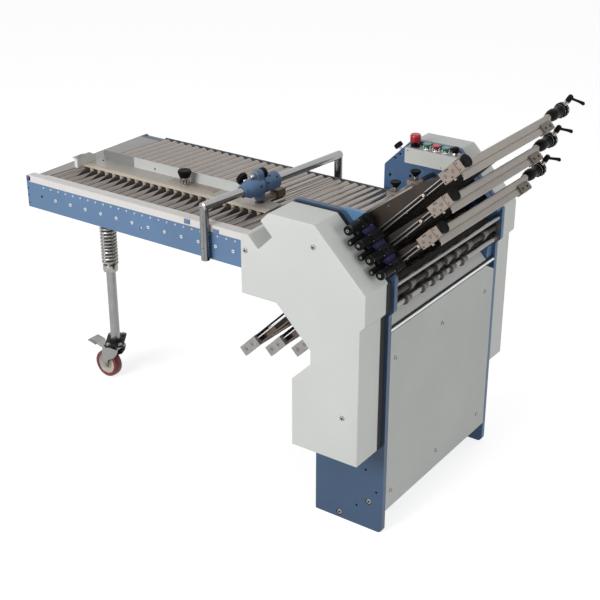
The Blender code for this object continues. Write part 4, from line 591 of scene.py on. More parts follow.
class Piece:
    """One object in the making: closed forms in world coordinates, each with its own finish."""

    def __init__(self):
        self.mesh = bmesh.new()
        self.finishes = []

    def paint(self, faces, finish):
        if finish not in self.finishes:
            self.finishes.append(finish)
        index = self.finishes.index(finish)
        for face in faces:
            face.material_index = index
            face.smooth = True

    def loft(self, rings, finish, closed=False):
        """A closed solid through rings of points; a closed one joins its last ring to its first."""
        made = [[self.mesh.verts.new(point) for point in ring] for ring in rings]
        faces = []
        if not closed:
            faces.append(self.mesh.faces.new(list(reversed(made[0]))))
            faces.append(self.mesh.faces.new(made[-1]))
        pairs = list(zip(made, made[1:]))
        if closed:
            pairs.append((made[-1], made[0]))
        count = len(made[0])
        for first, second in pairs:
            for index in range(count):
                after = (index + 1) % count
                corners = (first[index], first[after], second[after], second[index])
                faces.append(self.mesh.faces.new(corners))
        bmesh.ops.recalc_face_normals(self.mesh, faces=faces)
        self.paint(faces, finish)

    def prism(self, points, run, finish):
        """Points in space, carried along a vector."""
        run = Vector(run)
        self.loft([points, [Vector(point) + run for point in points]], finish)

    def side_prism(self, outline, near, far, finish):
        """An (x, z) outline between two distances inward."""
        points = [machine(x, near, z) for x, z in outline]
        self.prism(points, ACROSS * (far - near), finish)

    def fold_prism(self, outline, near, far, finish):
        """An (s, t) outline between two distances inward."""
        points = [fold_place(s, near, t) for s, t in outline]
        self.prism(points, ACROSS * (far - near), finish)

    def block(self, low, high, finish):
        """A box between two corners given as (x, inward, z)."""
        self.side_prism(rectangle(low[0], high[0], low[2], high[2]), low[1], high[1], finish)

    def fold_block(self, s_range, y_range, t_range, finish):
        """A box that stands square to the slanted edge."""
        self.fold_prism(rectangle(*s_range, *t_range), *y_range, finish)

    def turned(self, start, direction, stations, finish, sides=ROUND, closed=False, phase=0.5):
        """A solid turned about a line; each station is (distance along it, radius)."""
        about = turning_frame(start, direction)
        turns = [2 * math.pi * (index + phase) / sides for index in range(sides)]
        circle = [(math.cos(turn), math.sin(turn)) for turn in turns]
        rings = []
        for along, radius in stations:
            rings.append([about @ Vector((radius * a, radius * b, along)) for a, b in circle])
        self.loft(rings, finish, closed)

    def rod(self, start, direction, length, radius, finish, sides=ROUND, edge=0.0006):
        """A round bar with softly broken ends."""
        edge = min(edge, radius * 0.5, length * 0.4)
        stations = [(0.0, radius - edge), (edge, radius), (length - edge, radius), (length, radius - edge)]
        self.turned(start, direction, stations, finish, sides)

    def pin(self, start, direction, length, radius, finish):
        """A thin round bar, with fewer sides."""
        self.rod(start, direction, length, radius, finish, SMALL_ROUND)

    def dome(self, start, direction, length, radius, crown, finish, sides=ROUND):
        """A round bar whose far end is domed by the crown height."""
        stations = [(0.0, radius), (length - crown, radius)]
        for step in range(1, 6):
            angle = math.pi / 2 * step / 6
            stations.append((length - crown + crown * math.sin(angle), radius * math.cos(angle) ** 0.7))
        stations.append((length, radius * 0.02))
        self.turned(start, direction, stations, finish, sides)

    def ring(self, start, direction, inner, outer, height, finish, sides=ROUND):
        """A flat collar with a real bore."""
        section = [(0.0, inner), (0.0, outer), (height, outer), (height, inner)]
        self.turned(start, direction, section, finish, sides, closed=True)

    def sweep(self, points, radius, finish, sides=12, flat=1.0, flat_axis=None):
        """A bar along a path of points; the radius may be one number or one for each point."""
        points = [Vector(point) for point in points]
        rings = []
        side = None
        for index, point in enumerate(points):
            ahead = points[min(index + 1, len(points) - 1)] - points[max(index - 1, 0)]
            ahead.normalize()
            if side is None:
                side = ahead.cross(flat_axis or UP)
                if side.length < 0.1:
                    side = ahead.cross(FRONT)
            side = (side - ahead * side.dot(ahead)).normalized()
            lift = ahead.cross(side)
            wide = radius[index] if isinstance(radius, (list, tuple)) else radius
            ring = []
            for step in range(sides):
                angle = 2 * math.pi * step / sides
                ring.append(point + side * (wide * math.cos(angle)) + lift * (wide * flat * math.sin(angle)))
            rings.append(ring)
        self.loft(rings, finish)

    def screw(self, place, outward, radius, finishes, sides=SMALL_ROUND, height=None):
        """A cap screw: a broken-edged head with a recess whose dark hexagon floor is painted shade."""
        head, dark = finishes
        height = height or radius * 0.7
        outward = Vector(outward).normalized()
        rim = radius * 0.14
        stations = [(-0.0005, radius), (height - rim, radius), (height, radius - rim),
                    (height, radius * 0.52)]
        stations.append((height * 0.45, radius * 0.48))
        self.turned(place, outward, stations, head, sides)
        floor = Vector(place) + outward * height * 0.45
        self.turned(floor, outward, [(0.0, radius * 0.46), (0.0001, radius * 0.46)], dark, 6)

    def hole(self, place, outward, radius, finishes, sides=SMALL_ROUND):
        """A drilled hole shown by its broken rim and a dark bottom of painted shade, flush with the face."""
        edge, dark = finishes
        rim = radius * 0.18
        self.turned(place, outward,
                    [(-0.0002, radius + rim), (0.00012, radius + rim * 0.6), (0.00012, radius)], edge, sides)
        self.turned(place, outward, [(-0.0002, radius), (0.00022, radius)], dark, sides)

    def cut(self, tool):
        """Cuts another piece's forms out of this one; the cut faces keep that piece's finish."""
        for finish in tool.finishes:
            if finish not in self.finishes:
                self.finishes.append(finish)
        body = self.rough("cut_body")
        remap = [self.finishes.index(finish) for finish in tool.finishes]
        for face in tool.mesh.faces:
            face.material_index = remap[face.material_index]
        tool.finishes = self.finishes
        cutter = tool.rough("cut_tool")
        modifier = body.modifiers.new("cut", "BOOLEAN")
        modifier.operation = "DIFFERENCE"
        modifier.solver = "EXACT"
        modifier.object = cutter
        bpy.context.view_layer.update()
        result = bpy.data.meshes.new_from_object(body.evaluated_get(bpy.context.evaluated_depsgraph_get()))
        self.mesh.clear()
        self.mesh.from_mesh(result)
        for face in self.mesh.faces:
            face.smooth = True
        for item in (body, cutter):
            data = item.data
            bpy.data.objects.remove(item)
            bpy.data.meshes.remove(data)
        bpy.data.meshes.remove(result)

    def rough(self, name):
        mesh = bpy.data.meshes.new(name)
        self.mesh.to_mesh(mesh)
        for finish in self.finishes:
            mesh.materials.append(FINISH[finish])
        item = bpy.data.objects.new(name, mesh)
        bpy.context.scene.collection.objects.link(item)
        return item

    def build(self, name, body, nodes=(), slot=None, bevel=0.0007, sharp=34):
        """Makes the object, softens its edges, and hands it to its body in place of CAD nodes."""
        item = self.rough(name)
        self.mesh.free()
        item.data.set_sharp_from_angle(angle=math.radians(sharp))
        if bevel:
            modifier = item.modifiers.new("edges", "BEVEL")
            modifier.width = bevel
            modifier.segments = 2
            modifier.limit_method = "ANGLE"
            modifier.angle_limit = math.radians(40)
            modifier.harden_normals = True
            modifier.use_clamp_overlap = True
        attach(item, body)
        if nodes:
            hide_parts(*nodes)
        return item

    def stand_for(self, node, slot, body=FRAME_BODY, **edges):
        """Builds the look of one CAD node."""
        return self.build(node + "_look", body, [node], slot, **edges)


FINISH = {**paints(), **metals(), **dull_metals(), **plastics()}
BROWN_HOLE = ("brown", "hole")


# Side plates, covers, panel


def side_outline(foot, notched, slant_back=0.0, front_back=0.0):
    """Outline of a side plate or cover in side view, counter-clockwise from its lower rear."""
    points = [(-PLATE_FOOT_WIDTH, foot)]
    if foot == 0:
        points += [(-FOOT_CHAMFER, foot), (0.0, foot + FOOT_CHAMFER)]
    else:
        points += [(-front_back, foot)]
    brow = PLATE_BROW - front_back
    points += [
        (-front_back, BROW_LOW),
        (brow, BROW_LOW + PLATE_BROW),
        (brow, EDGE_Z - brow - slant_back),
        (EDGE_Z - PLATE_TOP - slant_back, PLATE_TOP),
        (-TOP_REAR_X, PLATE_TOP),
    ]
    if notched:
        reach = NOTCH_DEPTH * math.sin(FOLD_ANGLE)
        width = NOTCH_WIDTH * math.sin(FOLD_ANGLE)
        lip = (-NOTCH_LIP_X, PLATE_TOP - (NOTCH_LIP_X - TOP_REAR_X))
        inner = (lip[0] + reach, lip[1] - reach)
        low = (inner[0] - width, inner[1] - width)
        lobe = (low[0] - LOBE_RISE, low[1] + LOBE_RISE)
        points += [lip, inner, low, lobe]
        points += [(-REAR_X + LOBE_CHAMFER, lobe[1]), (-REAR_X, lobe[1] - LOBE_CHAMFER)]
    else:
        points += [(-REAR_X, PLATE_TOP - (REAR_X - TOP_REAR_X))]
    points += [
        (-REAR_X, REAR_LOW),
        (-THROAT_BACK_X - (REAR_LOW - THROAT_TOP), REAR_LOW),
        (-THROAT_BACK_X, THROAT_TOP),
        (-THROAT_BACK_X, THROAT_LOW),
        (-PLATE_FOOT_WIDTH, THROAT_LOW - (PLATE_FOOT_WIDTH - THROAT_BACK_X)),
    ]
    return points


def make_side_plate(name, notched):
    """A thick side plate, also a foot, with its bores, pin holes and bolts."""
    near = -PLATE_THICK if notched else INNER_WIDTH
    far = near + PLATE_THICK
    outer = near if notched else far
    outward = -ACROSS if notched else ACROSS
    plate = Piece()
    # Each plate takes a darker copy of the blue paint as painted shade
    skin = "near_plate_painted_shade" if notched else "far_shaded_blue"
    plate.side_prism(round_corners(side_outline(0.0, notched), 0.004), near, far, skin)
    holes = Piece()
    bores = [(fold_xz(s, t), JOURNAL_RADIUS + FIT_GAP) for s, t in roller_places()]
    bores += [((SHAFT_X, SHAFT_Z - drop), SHAFT_JOURNAL + FIT_GAP) for drop in (0.0, SHAFT_SPACING)]
    if notched:
        bores.append(((MOTOR_X, MOTOR_Z), MOTOR_SHAFT + FIT_GAP))
    for (x, z), radius in bores:
        holes.pin(machine(x, near - 0.01, z), ACROSS, PLATE_THICK + 0.02, radius, "hole")
    for x, z in PLATE_PIN_HOLES:
        holes.pin(machine(x, outer, z) - outward * 0.009, outward, 0.02, 0.0036, "hole")
    for x, z in PLATE_BOLTS:
        holes.pin(machine(x, outer, z) - outward * 0.006, outward, 0.02, 0.0098, "bronze")
    if not notched:
        for x, z, radius in FAR_PLATE_HOLES:
            holes.pin(machine(x, near - 0.01, z), ACROSS, 0.018, radius, "hole")
    plate.cut(holes)
    for x, z in PLATE_BOLTS:
        plate.screw(machine(x, outer, z) - outward * 0.006, outward, 0.0082, SCREW, height=0.0045)
    if notched:
        # The gusset is a lighter blue: painted highlight
        plate.fold_prism(GUSSET, near + 0.001, far - 0.001, "blue_painted_highlight")
    else:
        near_ledge = INNER_WIDTH - FAR_ROD_INSET + GUIDE_ROD_RADIUS + FIT_GAP
        plate.fold_block((-0.135, 0.020), (near_ledge, INNER_WIDTH + 0.002), (-0.045, -0.002), "far_shaded_blue")
        for s in (-0.110, -0.058, -0.006):
            plate.screw(fold_place(s, near_ledge, -0.024), -ACROSS, 0.005, BLACK_SCREW)
        add_slant_knob(plate)
    plate.stand_for(name, "blue_paint", bevel=0.0012)


def add_slant_knob(plate):
    """The small black knob on the far plate's rear slant."""
    way = Vector((-math.sin(FOLD_ANGLE), 0.0, math.cos(FOLD_ANGLE)))
    start = machine(SLANT_KNOB[0], INNER_WIDTH + PLATE_THICK / 2, SLANT_KNOB[1])
    plate.pin(start - way * 0.001, way, 0.012, 0.004, "chrome")
    stations = [(0.0095, 0.0100), (0.0105, 0.0138), (0.0220, 0.0138), (0.0235, 0.0120), (0.0238, 0.004)]
    plate.turned(start, way, stations, "plastic", 20)


def make_cover(name, notched, plate_face, outward, gap):
    """A bent sheet box with rolled outer edges and screw heads in dimples; the near one has a black strip in
    its gap as painted shade.
    """
    low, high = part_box(name)
    outer_y = (low.y if outward < 0 else high.y) - NEAR_FACE_Y
    open_y = plate_face + outward * gap
    slant_back = NEAR_SLANT_BACK if notched else 0.0
    front_back = NEAR_FRONT_BACK if notched else 0.0
    outline = offset_outline(side_outline(COVER_FOOT, notched, slant_back, front_back), COVER_INSET)
    outline = round_corners(outline, COVER_BEND + 0.001, 3)
    cover = Piece()
    rings = []
    inner = offset_outline(outline, COVER_SHEET)
    levels = [(inner, outer_y - outward * COVER_SHEET), (inner, open_y), (outline, open_y)]
    levels.append((outline, outer_y - outward * COVER_BEND))
    for step in range(1, 6):
        angle = math.pi / 2 * step / 5
        pulled = offset_outline(outline, COVER_BEND * (1 - math.cos(angle)))
        levels.append((pulled, outer_y - outward * COVER_BEND * (1 - math.sin(angle))))
    for points, inward in levels:
        rings.append([machine(x, inward, z) for x, z in points])
    cover.loft(rings, "cover")
    dimples = Piece()
    for x, z in COVER_SCREWS:
        place = machine(x, outer_y - outward * 0.0011, z)
        dimples.pin(place, ACROSS * outward, 0.01, 0.0078, "cover")
    cover.cut(dimples)
    for x, z in COVER_SCREWS:
        place = machine(x, outer_y - outward * 0.0012, z)
        cover.screw(place, ACROSS * outward, 0.0068, SCREW, height=0.0036)
        boss_start = machine(x, plate_face + outward * FIT_GAP, z)
        cover.pin(boss_start, ACROSS * outward, abs(outer_y - plate_face) - 0.004, 0.007, "zinc")
    cover.stand_for(name, "pale_paint", bevel=0.0, sharp=50)
    # A black strip in the gap between cover and plate: painted shade
    if notched:
        gap_shade = Piece()
        strip = offset_outline(side_outline(COVER_FOOT, notched, slant_back, front_back * 0.6),
                               GAP_SHADE_INSET * 0.7)
        inner_strip = offset_outline(strip, 0.006)
        levels = ((strip, plate_face - FIT_GAP), (strip, open_y + 0.006 * outward))
        levels += ((inner_strip, open_y + 0.006 * outward), (inner_strip, plate_face - FIT_GAP))
        rings = [[machine(x, inward, z) for x, z in points] for points, inward in levels]
        gap_shade.loft(rings, "gap_shade", closed=True)
        gap_shade.build(name + "_seal", FRAME_BODY, slot="black_plastic", bevel=0.0)


def make_panel():
    """Front panel: a folded sheet with its far top corner cut, six screws and a shaded top bend."""
    low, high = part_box("front_panel")
    near, far = inward_span("front_panel")
    corner_y, corner_z = PANEL_CORNER
    sheet = PANEL_SHEET
    back = low.x - FRONT_X
    face = [(near, low.z), (far, low.z), (far, corner_z), (corner_y, high.z), (near, high.z)]
    panel = Piece()
    panel.prism([machine(-sheet, inward, z) for inward, z in face], FRONT * sheet, "grey")
    for inward, z_low, z_high in ((near, low.z, high.z), (far - sheet, low.z, corner_z)):
        panel.block((back, inward, z_low), (-sheet, inward + sheet, z_high), "grey")
    panel.block((back, near, low.z), (-sheet, far, low.z + sheet), "grey")
    panel.block((back, near, high.z - sheet), (-sheet, corner_y, high.z), "grey")
    cut_run = [machine(back, far, corner_z), machine(back, corner_y, high.z)]
    cut_run += [machine(back, corner_y, high.z - sheet), machine(back, far - sheet, corner_z)]
    panel.prism(cut_run, FRONT * (-back - sheet), "grey")
    for inward, z in PANEL_SCREWS:
        panel.screw(machine(0.0, inward, z), FRONT, 0.0062, SCREW, height=0.0034)
        panel.turned(machine(0.0, inward, z), FRONT, [(-0.0004, 0.0092), (0.0004, 0.0086)], "zinc",
                     SMALL_ROUND)
    panel.stand_for("front_panel", "grey_paint", bevel=0.0006)


def make_chute():
    """Delivery chute: a bright rolled edge with a painted highlight, a dark rod as painted shadow in the
    joint, and a pale sheet with a blue bracket.
    """
    near, far = inward_span("delivery_chute")
    chute = Piece()
    chute.pin(machine(-0.0045, near, CHUTE_LOW_Z - 0.001), ACROSS, far - near, 0.0046, "glint")
    # Dark rod along the joint: painted shadow
    chute.rod(machine(-0.0072, near, CHUTE_LOW_Z + 0.004), ACROSS, far - near, 0.0034, "hole", 12)
    run = Vector((-math.cos(CHUTE_ANGLE), 0.0, math.sin(CHUTE_ANGLE)))
    lift = Vector((math.sin(CHUTE_ANGLE), 0.0, math.cos(CHUTE_ANGLE)))
    root = machine(-0.0095, near, CHUTE_LOW_Z + 0.0055)
    sheet = [root, root + run * 0.044, root + run * 0.044 - lift * 0.0022, root - lift * 0.0022]
    chute.prism(sheet, ACROSS * (CHUTE_FAR_Y - near), "light")
    under = [root - lift * 0.0024 - run * 0.004, root + run * 0.050 - lift * 0.0024]
    under += [under[1] - lift * 0.004, under[0] - lift * 0.004]
    chute.prism(under, ACROSS * (far - near), "blue")
    bracket = [machine(-0.012, CHUTE_FAR_Y + 0.004, 0.652), machine(-0.012, far, 0.652)]
    bracket += [machine(-0.012, far, 0.690), machine(-0.012, CHUTE_FAR_Y + 0.012, 0.690)]
    chute.prism(bracket, FRONT * -0.028, "blue")
    chute.stand_for("delivery_chute", "grey_paint", bevel=0.0004)


def make_delivery():
    """Delivery rod and the two shafts with their drums, rings and bearings."""
    near, far = FIT_GAP, INNER_WIDTH - FIT_GAP
    rod = Piece()
    rod.rod(machine(ROD_X, near, ROD_Z), ACROSS, far - near, ROD_RADIUS, "satin")
    rod.stand_for("delivery_rod", "chrome", bevel=0.0)
    for name, drop, drums, bar in (
        ("upper_delivery_shaft", 0.0, UPPER_DRUMS, "cheek"),
        ("lower_delivery_shaft", SHAFT_SPACING, LOWER_DRUMS, "satin"),
    ):
        shaft = Piece()
        start = machine(SHAFT_X, -JOURNAL_REACH, SHAFT_Z - drop)
        length = INNER_WIDTH + 2 * JOURNAL_REACH
        shaft.pin(start, ACROSS, length, SHAFT_JOURNAL, "satin")
        inner = JOURNAL_REACH + FIT_GAP
        shaft.rod(start + ACROSS * inner, ACROSS, length - 2 * inner, SHAFT_RADIUS, bar)
        for inward in drums:
            place = start + ACROSS * (JOURNAL_REACH + inward - DRUM_WIDTH / 2)
            edge = 0.0012
            half = DRUM_WIDTH * 0.36
            stations = [(0.0, 0.0120), (edge, DRUM_RADIUS), (half - edge, DRUM_RADIUS), (half, 0.0120),
                        (half + 0.002, 0.0115), (DRUM_WIDTH, 0.0112)]
            shaft.turned(place, ACROSS, stations, "shaft_grey")
            shaft.ring(place + ACROSS * (half * 0.5), ACROSS, 0.0146, 0.0153, 0.0014, "zinc")
        shaft.stand_for(name, "roller_steel", name, bevel=0.0)


def make_delivery_bearings():
    """The delivery shafts' flange bearings, the dark sheet of painted shade behind them, and a screw on the
    far plate.
    """
    bearings = Piece()
    low_z, high_z = DARK_SHEET_Z
    # The near-black sheet behind the shafts is painted shade
    bearings.block((DARK_SHEET_X - 0.0015, 0.0006, low_z), (DARK_SHEET_X, INNER_WIDTH - 0.0006, high_z),
                   "pan")
    for drop in (0.0, SHAFT_SPACING):
        place = machine(SHAFT_X, INNER_WIDTH - 0.0004, SHAFT_Z - drop)
        bearings.ring(place - ACROSS * 0.007, ACROSS, 0.0095, 0.0145, 0.007, "brown")
        bearings.ring(place - ACROSS * 0.0075, ACROSS, 0.0093, 0.0112, 0.001, "zinc")
        place = machine(SHAFT_X, 0.0004, SHAFT_Z - drop)
        bearings.ring(place, ACROSS, 0.0095, 0.0145, 0.007, "brown")
    bearings.screw(machine(-0.0066, INNER_WIDTH, 0.7234), -ACROSS, 0.0085, BLACK_SCREW, height=0.006)
    bearings.build("delivery_bearings_look", FRAME_BODY, slot="cast_beige", bevel=0.0)


# Fold rollers and fold plates


def make_fold_rollers():
    """The eight fold rollers with rubber bands; one carries the driven pulley."""
    for index, (s, t) in enumerate(roller_places(), start=1):
        name = "fold_roller_%d" % index
        near, far = inward_span(name)
        start = fold_place(s, near, t)
        length = far - near
        roller = Piece()
        roller.pin(start, ACROSS, length, JOURNAL_RADIUS, "satin")
        body = fold_place(s, 0.003, t)
        roller.rod(body, ACROSS, INNER_WIDTH - 0.006, ROLLER_RADIUS, "ground", ROUND, edge=0.001)
        for band in range(9):
            groove = body + ACROSS * (0.03 + band * 0.066)
            roller.ring(groove, ACROSS, ROLLER_RADIUS - 0.002, ROLLER_RADIUS + 0.0001, 0.022, "rubber")
        if index == DRIVEN_ROLLER:
            add_pulley(roller, start, 0.040, 0.026)
        roller.stand_for(name, "roller_steel", name, bevel=0.0)


def add_pulley(piece, start, radius, width):
    """A belt pulley with side flanges and lightening holes shown on its face."""
    piece.ring(start, ACROSS, JOURNAL_RADIUS * 0.9, radius - 0.001, width, "zinc")
    for along in (0.0, width - 0.002):
        piece.ring(start + ACROSS * along, ACROSS, radius - 0.006, radius, 0.002, "zinc")
    for out in spokes(5, FRONT, UP):
        piece.hole(start + out * (radius * 0.62), -ACROSS, radius * 0.16, SCREW)


def add_fold_body(piece, s, t_range):
    """Two dark sheets with side bars, long windows, and a bright lip at the mouth."""
    near = NEAR_ROD_Y + GUIDE_ROD_RADIUS + FIT_GAP
    far = INNER_WIDTH - FAR_ROD_INSET - GUIDE_ROD_RADIUS - FIT_GAP
    bar, sheet, half = 0.014, 0.0032, PLATE_BODY / 2
    for y_range in ((near, near + bar), (far - bar, far)):
        piece.fold_block((s - half, s + half), y_range, t_range, "dark_plate")
    strips = 7
    pitch = (far - near - 2 * bar) / strips
    for side in (-1, 1):
        s_range = sorted((s + side * half, s + side * (half - sheet)))
        for end in (0, 1):
            edge = t_range[0] if end == 0 else t_range[1] - 0.020
            piece.fold_block(s_range, (near + bar, far - bar), (edge, edge + 0.020), "dark_plate")
        for index in range(strips + 1):
            middle = near + bar + index * pitch
            low = max(near + bar - 0.001, middle - pitch * 0.225)
            high = min(far - bar + 0.001, middle + pitch * 0.225)
            span = (t_range[0] + 0.018, t_range[1] - 0.018)
            piece.fold_block(s_range, (low, high), span, "dark_plate")
    return near, far


def rail_outline(s, t):
    """Section of an end rail: an upper band, a groove and a lower band that ends in a folded lip."""
    low, high = -0.0065, 0.0335
    tall = RAIL_HALF
    section = [(low, -tall), (low + 0.005, -tall), (low + 0.005, tall - 0.006), (high - 0.003, tall - 0.009)]
    section += [(high - 0.003, -tall * 0.2), (high, -tall * 0.2), (high, tall - 0.0055),
                (high - 0.002, tall - 0.0040)]
    section += [(0.0165, tall - 0.0036), (0.0160, tall - 0.0062), (0.0142, tall - 0.0062),
                (0.0136, tall - 0.0030)]
    section += [(0.0030, tall - 0.0006), (0.0015, tall), (low + 0.002, tall), (low, tall - 0.002)]
    return [(s + a, t + b) for a, b in section]


def make_upper_fold_plate(index):
    """An upper fold plate with its end rail, stop knob and clamp lever."""
    number = index + 1
    s = UPPER_ROW_S + (index + 0.5) * ROLLER_PITCH
    t_end = UPPER_END_T - index * END_STEP_T
    plate = Piece()
    near, far = add_fold_body(plate, s, (UPPER_MOUTH_T, t_end - RAIL_HALF - FIT_GAP))
    for inward in (near + 0.007, far - 0.007):
        for t in (UPPER_MOUTH_T + 0.012, (UPPER_MOUTH_T + t_end) / 2, t_end - 0.03):
            plate.screw(fold_place(s + PLATE_BODY / 2, inward, t), DOWN_S, 0.0035, SCREW)
            plate.screw(fold_place(s - PLATE_BODY / 2, inward, t), -DOWN_S, 0.0035, SCREW)
    add_near_cheek(plate, s, t_end, near)
    plate.stand_for("upper_fold_plate_%d" % number, "dark_plate", "upper_plate_%d" % number, bevel=0.0004)
    make_upper_end_rail(number, s, t_end)
    make_stop_knob(number, s, t_end + END_BLOCK_LENGTH / 2)
    make_clamp_lever(number, s, t_end, LEVER_TURNS[index])


def make_upper_end_rail(number, s, t_end):
    """End rail of an upper plate, with its near block, its guide rods and its far grip."""
    rail = Piece()
    block_near, block_far = END_BLOCK_Y
    half = END_BLOCK_LENGTH / 2
    depth = END_BLOCK_DEPTH / 2
    rail.fold_prism(rail_outline(s, t_end), block_far - 0.002, INNER_WIDTH - block_far - RAIL_STOPS_SHORT,
                    "rail")
    split = t_end + half - 0.018
    rail.fold_block((s - depth, s + depth), (block_near, block_far), (t_end - half, split - 0.001), "beige")
    rail.fold_block((s - depth + 0.002, s + depth - 0.001), (block_near + 0.001, block_far - 0.002),
                    (split, t_end + half), "beige")
    rail.fold_block((s - depth + 0.004, s + depth - 0.004), (block_near + 0.003, block_far - 0.004),
                    (split - 0.004, split + 0.004), "brown")
    for t in (t_end - half + 0.014, t_end + 0.004):
        rail.hole(fold_place(s, block_near, t), -ACROSS, 0.0042, BROWN_HOLE)
        rail.screw(fold_place(s, block_near + 0.0004, t), -ACROSS, 0.0036, SCREW, height=0.0008)
    for along, t in ((-0.012, t_end - half + 0.024), (0.011, t_end - half + 0.006),
                     (0.011, t_end - half + 0.030), (-0.011, t_end - 0.006)):
        rail.hole(fold_place(s + along, block_near, t), -ACROSS, 0.0022, BROWN_HOLE, sides=12)
    for along in (0.009, -0.009):
        rail.hole(fold_place(s + along, block_near + 0.001, split + 0.005), -ACROSS, 0.0018, BROWN_HOLE,
                  sides=12)
    rail.pin(fold_place(s + depth - 0.004, block_near + 0.010, t_end - 0.010), DOWN_S, 0.010, 0.004, "zinc")
    add_rail_far_end(rail, s, t_end)
    length = t_end + 0.050 - RAIL_HALF
    rail.pin(fold_place(s, INNER_WIDTH - FAR_ROD_INSET, -0.050), OUT_T, length, GUIDE_ROD_RADIUS, "chrome")
    for along in (-GUIDE_ROD_RADIUS, GUIDE_ROD_RADIUS):
        rail.pin(fold_place(s + along * 1.1, NEAR_ROD_Y - 0.002, -0.050), OUT_T, length,
                 GUIDE_ROD_RADIUS * 0.34, "rod_steel")
    collar = fold_place(s, NEAR_ROD_Y - 0.002, t_end * 0.62)
    rail.pin(collar, OUT_T, 0.010, GUIDE_ROD_RADIUS * 1.4, "brown")
    rail.screw(collar + OUT_T * 0.006 - ACROSS * GUIDE_ROD_RADIUS * 1.6, -ACROSS, 0.0036, ("glint", "hole"),
               height=0.0020)
    rail.stand_for("upper_end_rail_%d" % number, "cast_beige", "upper_plate_%d" % number, bevel=0.0009)


def add_rail_far_end(rail, s, t_end):
    """Taupe bracket, black moulded grip and slotted clamp ring at the rail's far end."""
    start = INNER_WIDTH - END_BLOCK_Y[1]
    inset = 0.132
    rail.fold_block((s + 0.010, s + 0.036), (INNER_WIDTH - inset, INNER_WIDTH - inset + 0.056),
                    (t_end - 0.010, t_end + RAIL_HALF + 0.0010), "bracket")
    rail.fold_block((s + 0.014, s + 0.030), (INNER_WIDTH - inset + 0.010, INNER_WIDTH - inset + 0.058),
                    (t_end - 0.024, t_end + 0.004), "plastic")
    for along in (0.014, 0.042):
        hole = fold_place(s + 0.024, INNER_WIDTH - inset + along, t_end + RAIL_HALF + 0.0008)
        rail.screw(hole, OUT_T, 0.0036, BLACK_SCREW, height=0.0012)
    rail.rod(fold_place(s, start - RAIL_STOPS_SHORT - 0.004, t_end), ACROSS, 0.036, 0.0095, "rail")
    grip = [(-0.030, 0.0098), (-0.024, 0.0140), (-0.010, 0.0168), (0.002, 0.0175), (0.012, 0.0160),
            (0.022, 0.0138), (0.030, 0.0150)]
    grip += [(0.038, 0.0165), (GRIP_LENGTH, 0.0150)]
    rail.turned(fold_place(s, start, t_end), ACROSS, grip, "moulded")
    ring = fold_place(s, start + GRIP_LENGTH, t_end)
    body = [(0.0, 0.0150), (0.002, 0.0175), (0.006, 0.0178), (0.0065, 0.0150), (0.0100, 0.0150),
            (0.0105, CLAMP_RADIUS)]
    body += [(CLAMP_LENGTH - 0.002, CLAMP_RADIUS), (CLAMP_LENGTH, CLAMP_RADIUS - 0.002),
             (CLAMP_LENGTH, 0.009), (CLAMP_LENGTH - 0.003, 0.008)]
    rail.turned(ring, ACROSS, body, "moulded")
    for along, r in ((0.0010, 0.0180), (0.0135, CLAMP_RADIUS), (0.0205, CLAMP_RADIUS)):
        rail.ring(ring + ACROSS * along, ACROSS, r - 0.0014, r + 0.0007, 0.0022, "dark_chrome")
    for turn in (0.05, 0.30, 0.62, 1.40, 1.65, 1.88):
        out = spoke(math.pi * turn, FRONT, UP)
        rail.rod(ring + ACROSS * 0.0175 + out * (CLAMP_RADIUS - 0.004), out, 0.0050, 0.0024, "chrome", 12)
        rail.rod(ring + ACROSS * 0.0050 + out * 0.013, out, 0.0052, 0.0020, "glint", 12)
    wing = ring + ACROSS * 0.012 - UP * (CLAMP_RADIUS - 0.004)
    rail.pin(wing, -UP, 0.004, 0.0036, "zinc")
    rail.pin(wing - UP * 0.003, -UP, 0.0025, 0.0055, "moulded")


def make_stop_knob(number, s, t):
    """A black disc knob with broken rims, on a short bright stud."""
    name = "upper_stop_knob_%d" % number
    middle = (END_BLOCK_Y[0] + END_BLOCK_Y[1]) / 2
    start = fold_place(s, middle, t + FIT_GAP)
    knob = Piece()
    knob.pin(start, OUT_T, 0.004, 0.009, "zinc")
    stations = [(0.0025, 0.0155), (0.004, 0.0172), (0.0102, 0.0174), (0.012, 0.0158), (0.012, 0.011),
                (0.0112, 0.010)]
    knob.turned(start, OUT_T, stations, "plastic")
    knob.stand_for(name, "black_plastic", name, bevel=0.0)


def make_clamp_lever(number, s, t_end, turn):
    """A tightening lever: a stepped hub with a bright base and a flattened, cranked arm."""
    name = "upper_clamp_lever_%d" % number
    hub_line = Vector((math.sin(LEVER_LEAN), 0.0, math.cos(LEVER_LEAN)))
    outward = Vector((math.cos(LEVER_LEAN), 0.0, -math.sin(LEVER_LEAN)))
    centre = fold_place(s, INNER_WIDTH - END_BLOCK_Y[1] + GRIP_LENGTH + CLAMP_LENGTH / 2, t_end)
    base = centre + hub_line * (CLAMP_RADIUS + FIT_GAP)
    lever = Piece()
    lever.turned(base, hub_line, [(0.0, 0.0055), (0.007, 0.0055), (0.0075, 0.0078), (0.014, 0.0082)], "zinc",
                 SMALL_ROUND)
    hub = [(0.012, 0.0075), (0.014, 0.0082), (0.026, 0.0080), (0.032, 0.0070), (0.034, 0.0050)]
    lever.turned(base, hub_line, hub, "plastic")
    start = base + hub_line * 0.026
    level = spoke(turn, outward, ACROSS)
    path, widths = [], []
    for step in range(LEVER_STEPS + 1):
        share = step / LEVER_STEPS
        rise = 0.005 * (0.5 - 0.5 * math.cos(math.pi * share))
        path.append(start + level * LEVER_ARM * share + hub_line * rise)
        widths.append(0.0058 + 0.0012 * share ** 2 - 0.0012 * math.sin(math.pi * share))
    path += [path[-1] + level * 0.003]
    widths += [0.003]
    lever.sweep(path, widths, "plastic", 16, flat=0.72, flat_axis=hub_line)
    lever.stand_for(name, "black_plastic", name, bevel=0.0)


